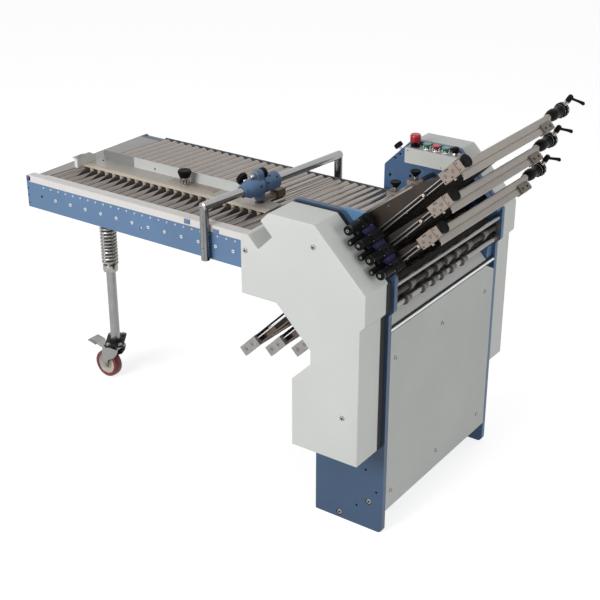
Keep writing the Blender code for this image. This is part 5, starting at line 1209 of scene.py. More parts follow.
def add_near_cheek(plate, s, t_end, near):
    """The sheet on a plate's near side, with its light folded edge and small screw."""
    top = t_end - END_BLOCK_LENGTH / 2 - 0.002
    widest = 0.062 if t_end > UPPER_END_T - 0.001 else 0.026
    outline = [(s - widest, 0.012), (s + 0.006, 0.012), (s + 0.006, top), (s - 0.008, top),
               (s - widest * 0.6, t_end * 0.57)]
    plate.fold_prism(outline, near + 0.0006, near + 0.0024, "cheek")
    if widest < 0.05:
        return
    start = fold_place(s - 0.063, near + 0.0004, 0.012)
    run = fold_place(s - 0.038, near + 0.0004, t_end * 0.57) - start
    edge = [start, start + DOWN_S * 0.0036, start + DOWN_S * 0.0036 + ACROSS * 0.010, start + ACROSS * 0.010]
    plate.prism(edge, run, "rail")
    plate.screw(fold_place(s - 0.037, near + 0.0006, 0.0905), -ACROSS, 0.0026, SCREW, height=0.0012)


def make_lower_fold_plate(index):
    """A lower fold plate with its grey end blocks, end rail, rods and runners."""
    number = index + 1
    s = UPPER_ROW_S + (index + 1) * ROLLER_PITCH
    t_end = -(LOWER_END_T - index * END_STEP_T)
    plate = Piece()
    near, far = add_fold_body(plate, s, (t_end + RAIL_HALF, LOWER_MOUTH_T))
    half = END_BLOCK_LENGTH / 2
    depth = END_BLOCK_DEPTH / 2
    plate.fold_block((s - RAIL_DEPTH / 2, s + RAIL_DEPTH / 2), (near - 0.002, far + 0.002),
                     (t_end - RAIL_HALF, t_end + 0.004), "rail")
    plate.fold_block((s - RAIL_DEPTH / 2, s + 0.001), (near - 0.002, far + 0.002),
                     (t_end + 0.003, t_end + 0.020), "rail")
    runner = PLATE_BODY / 2 - FIT_GAP
    for y_range in ((FIT_GAP, near + 0.002), (far - 0.002, INNER_WIDTH - FIT_GAP)):
        plate.fold_block((s - runner, s + runner), y_range, (-0.275, -0.156), "zinc")
    lean = depth - 0.0035
    for along, inward, r, finish in ((-lean, 0.020, 0.0030, "moulded"),
                                     (-lean * 0.35, 0.014, 0.0017, "glint"), (lean, 0.018, 0.0034, "brown")):
        plate.pin(fold_place(s + along, inward, t_end + half - 0.002), OUT_T, -0.160 - t_end - half, r,
                  finish)
    plate.fold_block((s - lean, s + lean), (near - 0.001, near + 0.050), (t_end + half, t_end + half + 0.018),
                     "moulded")
    plate.fold_block((s - lean * 0.6, s + depth), (near - 0.001, near + 0.080),
                     (t_end + half + 0.030, t_end + half + 0.075), "brown")
    for y_range, outer, way in (((0.006, near - 0.001), 0.006, -ACROSS),
                                ((far + 0.001, INNER_WIDTH - 0.006), INNER_WIDTH - 0.006, ACROSS)):
        plate.fold_block((s - depth, s + depth), y_range, (t_end - half, t_end + half), "grey_cast")
        for t in (t_end - 0.019, t_end + 0.012):
            plate.hole(fold_place(s, outer, t), way, 0.0048, BROWN_HOLE)
            plate.screw(fold_place(s, outer, t), way, 0.0040, SCREW, height=0.001)
    plate.stand_for("lower_fold_plate_%d" % number, "dark_plate", "lower_plate_%d" % number, bevel=0.0006)


# Bearing blocks, hold-down, drive


def make_bearing_blocks():
    """Roller pressure adjusters in steps down the slanted edge, with caps over the cover."""
    blocks = Piece()
    out_y, in_y = -0.032, 0.0142
    last_s = BLOCK_FIRST_S + (BLOCK_COUNT - 1) * ROLLER_PITCH
    blocks.fold_block((BLOCK_FIRST_S - 0.017, last_s + 0.017), (out_y, in_y), (FIT_GAP, 0.008), "black")
    for index in range(BLOCK_COUNT):
        s = BLOCK_FIRST_S + index * ROLLER_PITCH
        blocks.fold_block((s - 0.015, s + 0.015), (out_y + 0.002, in_y - 0.002), (0.004, 0.034), "black")
        blocks.fold_block((s - 0.0125, s + 0.0125), (out_y, out_y + 0.003), (0.008, 0.030), "black")
        for along, t in ((-0.0085, 0.027), (0.0085, 0.027), (0.0, 0.010)):
            blocks.screw(fold_place(s + along, out_y, t), -ACROSS, 0.0038, SCREW, height=0.003)
        for inward in (-0.020, 0.002):
            blocks.screw(fold_place(s, inward, 0.034), OUT_T, 0.0045, BLACK_SCREW, height=0.003)
        start = fold_place(s, out_y + 0.004, 0.021)
        cap = [(0.0, 0.013), (0.052, 0.013), (0.0535, 0.0132), (0.058, 0.0132), (0.060, 0.0115)]
        blocks.turned(start, -ACROSS, cap, "plastic")
        blocks.ring(start - ACROSS * 0.0530, -ACROSS, 0.0126, 0.0133, 0.0020, "dark_chrome")
        blocks.screw(start - ACROSS * 0.0600, -ACROSS, 0.0046, SCREW, height=0.0018)
        if index < BLOCK_COUNT - 1:
            between = s + ROLLER_PITCH / 2
            blocks.fold_block((between - 0.0068, between + 0.0068), (out_y + 0.006, in_y - 0.001),
                              (0.006, 0.024), "violet")
            pin = fold_place(between + 0.004, out_y + 0.008, 0.003)
            stations = [(0.0, 0.0088), (0.060, 0.0088), (0.062, 0.0078)]
            blocks.turned(pin, -ACROSS, stations, "plastic")
            blocks.screw(pin - ACROSS * 0.0615, -ACROSS, 0.0038, SCREW, height=0.0012)
    disc = fold_place(BLOCK_FIRST_S - 0.002, -0.010, 0.034)
    blocks.pin(disc, OUT_T, 0.006, 0.005, "zinc")
    blocks.rod(disc + OUT_T * 0.005, OUT_T, 0.007, 0.012, "plastic", ROUND, edge=0.001)
    blocks.stand_for("near_bearing_blocks", "black_paint", bevel=0.0008)


def make_hold_down():
    """Hold-down shaft with two angular blocks, each under a bowl-shaped knob."""
    near, far = FIT_GAP, INNER_WIDTH - FIT_GAP
    hold = Piece()
    hold.rod(machine(-HOLD_X, near, HOLD_Z), ACROSS, far - near, 0.008, "satin")
    for inward in HOLD_PLACES:
        outline = [(-0.020, -0.013), (0.014, -0.013), (0.020, -0.004), (0.018, 0.009), (0.008, 0.013),
                   (-0.020, 0.013)]
        points = [(-HOLD_X + x, HOLD_Z + z) for x, z in outline]
        hold.side_prism(points, inward - 0.017, inward + 0.017, "beige")
        top = [(-0.018, 0.0125), (0.008, 0.0125), (0.006, 0.0155), (-0.018, 0.0155)]
        hold.side_prism([(-HOLD_X + x, HOLD_Z + z) for x, z in top], inward - 0.012, inward + 0.012, "brown")
        post = machine(-HOLD_X, inward, HOLD_Z + 0.012)
        hold.pin(post, UP, 0.018, 0.0065, "chrome")
        bowl = [(0.013, 0.0075), (0.017, 0.0095), (0.023, 0.0140), (0.026, 0.0158), (0.0295, 0.0160),
                (0.031, 0.0145)]
        bowl += [(0.031, 0.009), (0.030, 0.008)]
        hold.turned(post, UP, bowl, "plastic")
        hold.hole(machine(-HOLD_X + 0.004, inward - 0.017, HOLD_Z), -ACROSS, 0.004, BROWN_HOLE)
    hold.stand_for("infeed_hold_down", "cast_beige", bevel=0.0008)


def make_drive():
    """Motor with cooling fins, its pulley, the belt, and the tie beam."""
    motor = Piece()
    near = FIT_GAP
    flange = 0.060
    outline = round_corners(rectangle(-flange, flange, -flange, flange), 0.018, 4)
    motor.side_prism([(MOTOR_X + x, MOTOR_Z + z) for x, z in outline], near, near + 0.012, "black")
    start = machine(MOTOR_X, near + 0.010, MOTOR_Z)
    motor.rod(start, ACROSS, 0.180, 0.050, "black")
    for fin in range(12):
        motor.ring(start + ACROSS * (0.024 + fin * 0.0105), ACROSS, 0.047, 0.055, 0.0035, "black")
    motor.rod(start + ACROSS * 0.150, ACROSS, 0.032, 0.0548, "plastic", edge=0.004)
    for x in (-0.047, 0.047):
        for z in (-0.047, 0.047):
            motor.screw(machine(MOTOR_X + x, near + 0.012, MOTOR_Z + z), ACROSS, 0.006, SCREW)
    motor.stand_for("drive_motor", "black_paint", bevel=0.0006)

    near, far = inward_span("motor_pulley")
    pulley = Piece()
    start = machine(MOTOR_X, near, MOTOR_Z)
    pulley.pin(start, ACROSS, far - near, MOTOR_SHAFT, "satin")
    add_pulley(pulley, start, 0.028, 0.026)
    pulley.stand_for("motor_pulley", "roller_steel", "motor_pulley", bevel=0.0)
    for name, finish in (("drive_belt", "rubber"), ("base_tie_beam", "blue")):
        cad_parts[name].data.materials.clear()
        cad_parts[name].data.materials.append(FINISH[finish])


# Controls


def make_controls():
    """Control box of bent sheet, its bezels, and the buttons on them."""
    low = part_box("control_box")[0]
    front, back = inward_span("control_box")
    top = PLATE_TOP - 0.011
    bottom = low.z
    slant = top - bottom
    box = Piece()
    outline = [(-BOX_REAR_X, bottom), (-BOX_FRONT_X - slant, bottom), (-BOX_FRONT_X, top), (-BOX_REAR_X, top)]
    box.side_prism(round_corners(outline, 0.002), front, back, "pale")
    lid = rectangle(-0.2985, -0.1215, top - 0.0012, top + 0.0006)
    box.side_prism(lid, front + 0.0015, back - 0.001, "lid")
    end = [(-0.1215, top - 0.030), (-0.104, top - 0.012), (-0.104, top - 0.001), (-0.1215, top - 0.001)]
    box.side_prism(end, front + 0.004, back - 0.002, "lid")
    stop_at = machine(-STOP_X, BUTTON_Y, top)
    box.ring(stop_at, UP, 0.0060, 0.0135, STOP_BASE, "plastic")
    box.ring(stop_at, UP, 0.0125, 0.0150, 0.002, "dark_chrome")
    for _, x, _ in BUTTONS:
        place = machine(-x, BUTTON_Y, top)
        collar = [(0.0, 0.0142), (0.0025, 0.0140), (0.0035, 0.0128), (BUTTON_COLLAR, 0.0122),
                  (BUTTON_COLLAR, 0.0062)]
        box.turned(place, UP, collar, "glint")
        for out in spokes(6, FRONT, ACROSS, 0.3):
            box.rod(place + out * 0.0118 + UP * 0.0030, UP, BUTTON_COLLAR - 0.0032, 0.0022, "hole", 12)
        box.ring(place + UP * (BUTTON_COLLAR - 0.0004), UP, 0.0062, 0.0098, 0.0007, "hole")
    dial = machine(-DIAL_X, BUTTON_Y, top)
    box.turned(dial, UP, [(0.0, 0.0135), (0.0015, 0.0133), (0.008, 0.0115), (0.008, 0.006)], "zinc")
    for x, z in ((-0.290, top - 0.008), (-0.175, bottom + 0.007)):
        box.screw(machine(x, front, z), -ACROSS, 0.0020, SCREW)
    box.stand_for("control_box", "pale_paint", bevel=0.0007)
    make_buttons(top, stop_at, dial)


def make_buttons(top, stop_at, dial):
    """The emergency stop, the three push buttons and the speed knob."""
    stop = Piece()
    stop.pin(stop_at + UP * 0.0055, UP, 0.0130, 0.0055, "plastic")
    cap = [(0.0170, 0.0150), (0.0185, 0.0163), (0.0215, 0.0166), (0.0330, 0.0166), (0.0375, 0.0158),
           (0.0400, 0.0135), (0.0404, 0.004)]
    stop.turned(stop_at, UP, cap, "red")
    stop.stand_for("emergency_stop", "red_plastic", "emergency_stop", bevel=0.0)
    for name, x, finish in BUTTONS:
        place = machine(-x, BUTTON_Y, top)
        button = Piece()
        button.pin(place - UP * 0.002, UP, 0.0145, 0.0055, finish)
        cap = [(0.0122, 0.0118), (0.0130, 0.0132), (0.0162, 0.0132), (0.0174, 0.0120), (0.0177, 0.004)]
        button.turned(place, UP, cap, finish)
        button.stand_for(name, finish + "_plastic", name, bevel=0.0)
    knob = Piece()
    knob.pin(dial - UP * 0.002, UP, 0.012, 0.0055, "zinc")
    knob.turned(dial, UP,
                [(0.0083, 0.0105), (0.0100, 0.0112), (0.0215, 0.0102), (0.0238, 0.0092), (0.0242, 0.006)],
                "plastic", 18)
    knob.pin(dial + UP * 0.0240, UP, 0.0006, 0.0050, "plastic")
    knob.stand_for("speed_knob", "black_plastic", "speed_knob", bevel=0.0004)


# Register table


def make_rails():
    """Channel rails of the table, with holes and two rows of screws on their outer faces."""
    for name in ("near_rail", "far_rail"):
        low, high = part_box(name)
        near = name == "near_rail"
        face = RAIL_FACE_Y if near else INNER_WIDTH - RAIL_FACE_Y
        inside = 1 if near else -1
        web, lip = face + inside * RAIL_WALL, face + inside * RAIL_FLANGE
        section = [(face, low.z), (face, high.z), (lip, high.z), (lip, high.z - RAIL_WALL)]
        section += [(web, high.z - RAIL_WALL), (web, low.z + RAIL_WALL), (lip, low.z + RAIL_WALL),
                    (lip, low.z)]
        rail = Piece()
        start = -RAIL_OUTER_X + FIT_GAP
        run = FRONT * (RAIL_OUTER_X - RAIL_INNER_X - FIT_GAP)
        rail.prism([machine(start, inward, z) for inward, z in section], run, "blue")
        pad_far = FIT_GAP if near else INNER_WIDTH - FIT_GAP
        low_y, high_y = sorted(((face + web) / 2, pad_far))
        rail.block((-RAIL_PAD_X, low_y, REAR_LOW), (-RAIL_INNER_X - 0.010, high_y, high.z - RAIL_WALL),
                   "blue")
        holes = Piece()
        for x, z in RAIL_HOLES:
            holes.pin(machine(x, face - inside * 0.01, z), ACROSS * inside, 0.03, 0.0042, "hole")
        rail.cut(holes)
        out = -ACROSS * inside
        for index in range(TABLE_ROLLERS):
            x = skewed(-TABLE_FIRST_X + index * TABLE_PITCH, face, SKEW)
            if x < -RAIL_PAD_X - 0.010:
                rail.screw(machine(x, face, high.z - AXLE_SCREW_DROP), out, 0.0030, ("white", "hole"), 12,
                           height=0.002)
        for index in range(RAIL_SCREWS):
            x = RAIL_FIRST_SCREW + index * RAIL_SCREW_PITCH
            rail.screw(machine(x, face, RAIL_SCREW_Z), out, 0.0054, ("white", "brown"), height=0.0028)
        rail.stand_for(name, "blue_paint", bevel=0.0009)


def make_table_end():
    """Blue end beam with a dark grey lip, the grey deck sheet, and a violet corner block at the near end."""
    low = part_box("table_end_beam")[0]
    near, far = inward_span("table_end_beam")
    strip_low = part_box("near_top_strip")[0].z
    outer = -RAIL_OUTER_X - 0.010
    beam = Piece()
    beam.block((outer, near, low.z), (-RAIL_OUTER_X, far, strip_low - 0.0030), "blue")
    beam.block((outer, near, strip_low - 0.0032), (-RAIL_OUTER_X, far, strip_low + 0.0032), "edge_grey")
    edge_x = -TABLE_FIRST_X - TABLE_ROLLER_RADIUS - 0.010
    deck_near = STRIP_Y + STRIP_THICK + FIT_GAP
    deck_far = INNER_WIDTH - deck_near
    deck = [
        machine(-RAIL_OUTER_X - 0.006, deck_near, strip_low),
        machine(skewed(edge_x, deck_near, SKEW), deck_near, strip_low),
        machine(skewed(edge_x, deck_far, SKEW), deck_far, strip_low),
        machine(-RAIL_OUTER_X - 0.006, deck_far, strip_low),
    ]
    beam.prism(deck, UP * 0.0036, "deck")
    groove = [deck[1] - FRONT * 0.0175, deck[2] - FRONT * 0.0175, deck[2] - FRONT * 0.0135,
              deck[1] - FRONT * 0.0135]
    beam.prism([point + UP * 0.0016 for point in groove], UP * 0.0024, "hole")
    shelf = [deck[1] - FRONT * 0.0135, deck[2] - FRONT * 0.0135, deck[2], deck[1]]
    beam.prism([point + UP * 0.0018 for point in shelf], UP * 0.0024, "slide")
    for inward in (0.08, 0.30, 0.52):
        beam.screw(machine(-RAIL_OUTER_X + 0.010, inward, strip_low + 0.0036), UP, 0.0035, SCREW,
                   height=0.0008)
    beam.block((outer + 0.0005, near - 0.0004, strip_low - 0.0005),
               (-RAIL_OUTER_X + 0.0075, STRIP_Y + 0.004, strip_low + 0.0150), "violet")
    for inward in (0.03, 0.57):
        beam.screw(machine(outer, inward, 0.742), -FRONT, 0.005, SCREW)
    for z in (0.712, 0.738, 0.762):
        beam.screw(machine(outer + 0.005, near, z), -ACROSS, 0.0024, BLACK_SCREW, height=0.0010)
    beam.stand_for("table_end_beam", "grey_paint", bevel=0.0005)


def make_top_strip():
    """Pale strip on the near rail, with two small blue blocks and five screws."""
    low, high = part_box("near_top_strip")
    strip = Piece()
    near, far = inward_span("near_top_strip")
    start, end = low.x - FRONT_X, high.x - FRONT_X
    strip.block((start, near, low.z), (end, far, high.z), "band")
    strip.block((start, near - 0.0004, low.z - 0.0030), (end, near + 0.002, high.z - 0.001), "band")
    for x, z in ((-0.709, 0.7985), (-0.602, 0.791)):
        strip.block((x - 0.010, near - 0.0030, z - 0.009), (x + 0.010, near + 0.0005, z + 0.006), "blue")
        strip.block((x - 0.010, near - 0.0032, z + 0.0058), (x + 0.010, near + 0.0002, z + 0.0072), "light")
        strip.screw(machine(x, near - 0.0030, z - 0.001), -ACROSS, 0.0030, SCREW, height=0.001)
    for index in range(5):
        x = -1.32 + index * 0.24
        strip.screw(machine(x, near + 0.010, high.z - 0.0004), UP, 0.0032, ("band", "band"), height=0.0006)
    strip.stand_for("near_top_strip", "pale_paint", bevel=0.0009)


def make_roller_bank():
    """The skewed table rollers, their journals, and the two strips that carry them."""
    low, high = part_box("near_top_strip")
    bank = Piece()
    step_x = -RAIL_OUTER_X + 0.052
    bank.block((-RAIL_OUTER_X + FIT_GAP, STRIP_Y, low.z), (step_x, STRIP_Y + STRIP_THICK, high.z - 0.004),
               "deck")
    bank.block((step_x, STRIP_Y, low.z), (-RAIL_INNER_X, STRIP_Y + STRIP_THICK, high.z + 0.0003), "band")
    far_strip = INNER_WIDTH - STRIP_Y - STRIP_THICK
    far_start = skewed(-TABLE_FIRST_X - 0.020, far_strip, SKEW)
    # The far strip and its end piece are dark grey: painted shade
    bank.block((far_start, far_strip, low.z), (-RAIL_INNER_X, far_strip + STRIP_THICK, high.z), "edge_grey")
    bank.block((-RAIL_OUTER_X + FIT_GAP, far_strip, low.z),
               (far_start + 0.001, far_strip + STRIP_THICK + 0.007, low.z + 0.0040), "edge_grey")
    # The sheet under the rollers is near black up to just past the guide's lip, as painted shade, and tan
    # beyond
    pan_left = -TABLE_FIRST_X - TABLE_ROLLER_RADIUS - 0.008
    pan_near, pan_far = STRIP_Y + STRIP_THICK + 0.0030, far_strip - 0.0030
    pan_z = TABLE_ROLLER_Z + 0.0078
    pan_middle = GUIDE_NEAR_Y + 0.020
    for first, last, finish in ((pan_near, pan_middle, "pan"), (pan_middle, pan_far, "tan_pan")):
        pan = [machine(skewed(pan_left, first, SKEW), first, pan_z), machine(-RAIL_INNER_X, first, pan_z)]
        pan += [machine(-RAIL_INNER_X, last, pan_z), machine(skewed(pan_left, last, SKEW), last, pan_z)]
        bank.prism(pan, UP * 0.0012, finish)
    stretch = 1 / math.cos(SKEW)
    sunk = STRIP_Y + STRIP_THICK / 2
    near = (TABLE_NEAR_Y - sunk) * stretch
    far = (TABLE_FAR_Y - sunk) * stretch
    total = (INNER_WIDTH - 2 * sunk) * stretch
    middle = (GUIDE_NEAR_Y + 0.020 - sunk) * stretch
    r = TABLE_ROLLER_RADIUS
    for index in range(TABLE_ROLLERS):
        start = table_roller_start(index)
        bank.rod(start, TABLE_ACROSS, total, 0.004, "satin", 12)
        # Each roller is darker from its near end to just past the guide's lip: painted shade
        bank.turned(start, TABLE_ACROSS,
                    [(near, r * 0.55), (near, r - 0.001), (near + 0.001, r), (middle, r)], "ground_near_shade")
        bank.turned(start, TABLE_ACROSS, [(middle, r), (far - 0.001, r), (far, r - 0.001), (far, r * 0.55)],
                    "ground")
    # Painted reflections of the guide on the rollers
    add_painted_reflections(bank, -GUIDE_LEFT_X, -GUIDE_RIGHT_X, GUIDE_NEAR_Y + LIP_INSET)
    bank.stand_for("roller_bank", "roller_steel", bevel=0.0)


def add_painted_reflections(bank, left, right, edge):
    """Painted reflections on the rollers in front of the guide's lip: dark wedges of its shaded underside,
    with light scallops in the lip's colour between them.
    """
    sunk = STRIP_Y + STRIP_THICK / 2
    crest, valley = -0.45, 1.32
    # Layers of painted reflection: the lip's light scallops, the dark wedges, and their brown ends
    layers = (
        ("lip", 0.00022, lambda share: -0.004, lambda share: 0.019 * share ** 1.6),
        ("underside", 0.00018, lambda share: 0.019 * share ** 1.6,
         lambda share: 0.014 + 0.078 * share ** 1.3),
        ("reflection_tail", 0.00014, lambda share: 0.014 + 0.078 * share ** 1.3,
         lambda share: 0.014 + 0.106 * share ** 2.2),
    )
    for index in range(TABLE_ROLLERS):
        at_lip = table_roller_start(index) + TABLE_ACROSS * ((edge - sunk) / math.cos(SKEW))
        x = at_lip.x - FRONT_X
        if not left + 0.012 < x < right - 0.012:
            continue
        for finish, skin, begin, stop in layers:
            rings = []
            for step in range(11):
                share = step / 10
                angle = crest + (valley - crest) * share
                first, last = begin(share), max(stop(share), begin(share) + 0.0004)
                ring = []
                for radius, reach in ((skin, first), (skin, last), (skin * 0.2, last), (skin * 0.2, first)):
                    r = TABLE_ROLLER_RADIUS + radius
                    ring.append(at_lip - TABLE_ACROSS * reach + spoke(angle, UP, TABLE_ALONG) * r)
                rings.append(ring)
            bank.loft(rings, finish)


def make_side_guide():
    """Folded sheet guide: a tan lip with a bead, an underside in painted shade, a wall whose outer end is
    painted shade, and an end tab.
    """
    low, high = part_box("side_guide")
    base, top = low.z, high.z
    guide = Piece()
    left, right = -GUIDE_LEFT_X, -GUIDE_RIGHT_X
    near, wall = GUIDE_NEAR_Y + LIP_INSET, GUIDE_WALL_Y + LIP_INSET
    top += GUIDE_RISE
    flange = base + GUIDE_SHEET + 0.001
    # The guide's underside is near black: painted shade
    guide.block((left, near + 0.004, base), (right, wall, base + 0.0008), "underside")
    guide.block((left, near + 0.0245, base + 0.0006), (right, wall, flange), "flange")
    lip = [(near, base + 0.0003), (near + 0.0225, base + 0.0003), (near + 0.0225, flange + 0.0004)]
    lip += [(near + 0.0195, flange + 0.0010), (near + 0.0185, flange + 0.0002),
            (near + 0.004, flange - 0.0006), (near, flange - 0.0018)]
    guide.prism([machine(left, inward, z) for inward, z in lip], FRONT * (right - left), "lip")
    guide.block((left + 0.001, near + 0.0168, flange - 0.001),
                (right - 0.001, near + 0.0182, flange + 0.0004), "brown")
    wall_left = left + 0.020
    change = -1.131
    wall_right = -GUIDE_WALL_RIGHT_X
    # The wall's outer end, up to the change, is darker grey: painted shade
    dark = [(wall_left + 0.008, flange - 0.001), (wall_left, top - 0.010), (wall_left + 0.004, top - 0.0006)]
    dark += [(change, top - 0.0006), (change, flange - 0.001)]
    guide.side_prism(dark, wall - GUIDE_SHEET, wall, "wall_shade_grey")
    guide.block((change, wall - GUIDE_SHEET, flange - 0.001), (wall_right, wall, top - 0.0006), "light")
    guide.screw(machine(-1.042, wall - GUIDE_SHEET, flange + 0.012), -ACROSS, 0.0034, ("satin", "hole"),
                height=0.0012)
    guide.screw(machine(wall_left + 0.006, wall - 0.012, flange), UP, 0.0036, BLACK_SCREW, height=0.0012)
    slide_low, slide_high = -0.955, -0.772
    guide.block((slide_low, near + 0.034, flange - 0.001), (slide_high, near + 0.074, flange + 0.0011),
                "slide")
    guide.block((slide_low + 0.004, near + 0.0375, flange),
                (slide_high - 0.002, near + 0.0390, flange + 0.0016), "lip")
    add_guide_tab(guide, left, near, base, top)
    guide.stand_for("side_guide", "pale_paint", "side_guide", bevel=0.0005)
    make_guide_knob()


def add_guide_tab(guide, left, near, base, top):
    """The light tab across the guide's outer end, with its folded edge and a slot shown as a black strip of
    painted shade.
    """
    tab_top = top - 0.001
    foot = base + 0.0004
    face = [(near - 0.022, foot), (near + 0.010, foot + 0.004), (near + 0.062, base + 0.0008),
            (near + 0.062, top - 0.016)]
    face += [(near + 0.034, tab_top + 0.0010), (near - 0.022, tab_top)]
    guide.prism([machine(left - 0.0015, inward, z) for inward, z in face], FRONT * 0.0030, "tab_grey")
    guide.block((left - 0.0110, near - 0.0240, foot), (left + 0.0015, near - 0.0220, tab_top), "white")
    guide.block((left - 0.0110, near - 0.0350, tab_top - 0.0020), (left + 0.0015, near + 0.010, tab_top),
                "tab_grey")
    guide.block((left - 0.0050, near - 0.016, tab_top - 0.0004),
                (left - 0.0025, near + 0.016, tab_top + 0.0004), "gap_shade")


def make_guide_knob():
    """The guide's black bowl knob on a fluted bright post."""
    knob = Piece()
    start = machine(-GUIDE_KNOB[0], GUIDE_KNOB[1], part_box("guide_knob")[0].z + GUIDE_RISE * 0.6)
    knob.rod(start - UP * GUIDE_RISE * 0.6, UP, 0.020, 0.0095, "chrome", 12)
    for out in spokes(8, FRONT, ACROSS):
        knob.rod(start + out * 0.0115 + UP * 0.0015, UP, 0.017, 0.0036, "chrome", 12)
    knob.pin(start + UP * 0.016, UP, 0.006, 0.0150, "chrome")
    bowl = [(0.020, 0.0145), (0.023, 0.0170), (0.031, 0.0190), (0.0350, 0.0214), (0.0410, 0.0214),
            (0.0440, 0.0190)]
    bowl += [(0.0445, 0.013), (0.0433, 0.0115)]
    knob.turned(start, UP, bowl, "plastic")
    knob.stand_for("guide_knob", "black_plastic", "guide_knob", bevel=0.0)


# Bridge


def bridge_place(inward):
    """Place on the bridge bar's axis."""
    return machine(skewed(-BRIDGE_X, inward, BRIDGE_SKEW), inward, BRIDGE_Z)


def make_bridge():
    """Polished bar on two posts, each with thin bright rods along it as painted highlights and two dark lines
    as painted reflection.
    """
    post_y = RAIL_FACE_Y - FIT_GAP - BRIDGE_RADIUS
    bridge = Piece()
    start = bridge_place(post_y - 0.010)
    end = bridge_place(INNER_WIDTH - post_y + 0.010)
    length = (end - start).length
    r = BRIDGE_RADIUS
    ends = [(0.0, r * 0.45), (0.0012, r * 0.78), (0.0035, r)]
    stations = ends + [(length - 0.0035, r), (length - 0.0012, r * 0.78), (length, r * 0.45)]
    bridge.turned(start, BRIDGE_ACROSS, stations, "bar_steel")
    rail_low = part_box("near_rail")[0].z
    for inward in (post_y, INNER_WIDTH - post_y):
        foot = bridge_place(inward)
        foot.z = rail_low
        tall = BRIDGE_Z - rail_low
        bridge.rod(foot, UP, tall, r - FIT_GAP, "post_steel")
        # Thin bright rods along each post: painted highlights
        for turn in (-0.95, -0.20, 0.95):
            out = spoke(turn, -ACROSS, FRONT)
            bridge.rod(foot + out * (r - 0.0026) + UP * 0.003, UP, tall - 0.020, 0.0022, "glint", 12)
        # Thin dark lines along each post: painted reflection
        for turn in (-0.58, 0.40):
            out = spoke(turn, -ACROSS, FRONT)
            bridge.rod(foot + out * (r - 0.0016) + UP * 0.003, UP, tall - 0.024, 0.0014, "hole", 12)
        top = foot + UP * (tall - 0.006)
        out = -ACROSS if inward < INNER_WIDTH / 2 else ACROSS
        for drop in (0.045, 0.120):
            bridge.screw(top - UP * drop + out * (r - 0.0008), out, 0.0042, SCREW, height=0.0022)
    bridge.stand_for("bridge_bar", "chrome", bevel=0.0)


def make_clamp():
    """Cast clamp on the bridge: nose collar, cone, split far drum, bolted ear and foot."""
    start, end = bridge_place(CLAMP_SPAN[0]), bridge_place(CLAMP_SPAN[1])
    length = (end - start).length
    clamp = Piece()
    body = [(0.0, 0.0172), (0.0015, 0.0188), (0.010, 0.0190), (0.016, 0.0215), (0.030, 0.0275),
            (0.078, 0.0282)]
    body += [(0.0795, 0.0250), (0.0835, 0.0250), (0.085, 0.0276), (length - 0.003, 0.0276), (length, 0.0250)]
    clamp.turned(start, BRIDGE_ACROSS, body, "cast_blue")
    clamp.ring(start + BRIDGE_ACROSS * 0.0797, BRIDGE_ACROSS, 0.0235, 0.0254, 0.0036, "hole")
    bore = Piece()
    bore.rod(start - BRIDGE_ACROSS * 0.01, BRIDGE_ACROSS, length + 0.02, BRIDGE_RADIUS + 0.0005, "hole")
    clamp.cut(bore)
    add_clamp_ear(clamp)
    add_clamp_foot(clamp)
    for inward, lean in ((0.262, 0.5), (0.243, 1.2), (0.212, 1.3), (0.286, 0.9)):
        way = spoke(lean, UP, BRIDGE_ALONG).normalized()
        clamp.screw(bridge_place(inward) + way * 0.0274, way, 0.0034, BLACK_SCREW, height=0.0010)
    clamp.build("bridge_clamp_look", "side_guide", ["bridge_clamp"], "blue_paint", bevel=0.0006)
    make_clamp_knob()


def add_clamp_ear(clamp):
    """The clamp's rounded ear, with a bolt towards the near side and a black nut behind."""
    ear = bridge_place(CLAMP_BOSS_Y)
    top = ear + UP * 0.0345
    half, radius = 0.012, 0.0160
    turns = [math.pi * step / 12 for step in range(13)]
    outline = [(radius * math.cos(turn), 0.0345 + radius * math.sin(turn)) for turn in turns]
    outline += [(-0.0185, 0.016), (0.0185, 0.016)]
    points = [ear - BRIDGE_ACROSS * half + BRIDGE_ALONG * a + UP * b for a, b in outline]
    clamp.prism(points, BRIDGE_ACROSS * (2 * half), "cast_blue")
    face = top - BRIDGE_ACROSS * half
    clamp.ring(face - BRIDGE_ACROSS * 0.0025, BRIDGE_ACROSS, 0.0095, 0.0150, 0.003, "satin")
    clamp.pin(face + BRIDGE_ACROSS * 0.001, -BRIDGE_ACROSS, 0.007, 0.0098, "cast_blue")
    clamp.rod(face - BRIDGE_ACROSS * 0.0055, -BRIDGE_ACROSS, 0.004, 0.0085, "zinc", 6)
    clamp.dome(face - BRIDGE_ACROSS * 0.009, -BRIDGE_ACROSS, 0.0090, 0.0068, 0.005, "chrome")
    back = top + BRIDGE_ACROSS * half
    clamp.pin(back - BRIDGE_ACROSS * 0.001, BRIDGE_ACROSS, 0.006, 0.006, "chrome")
    clamp.turned(back, BRIDGE_ACROSS, [(0.004, 0.0130), (0.006, 0.0165), (0.016, 0.0165), (0.018, 0.0145)],
                 "plastic")


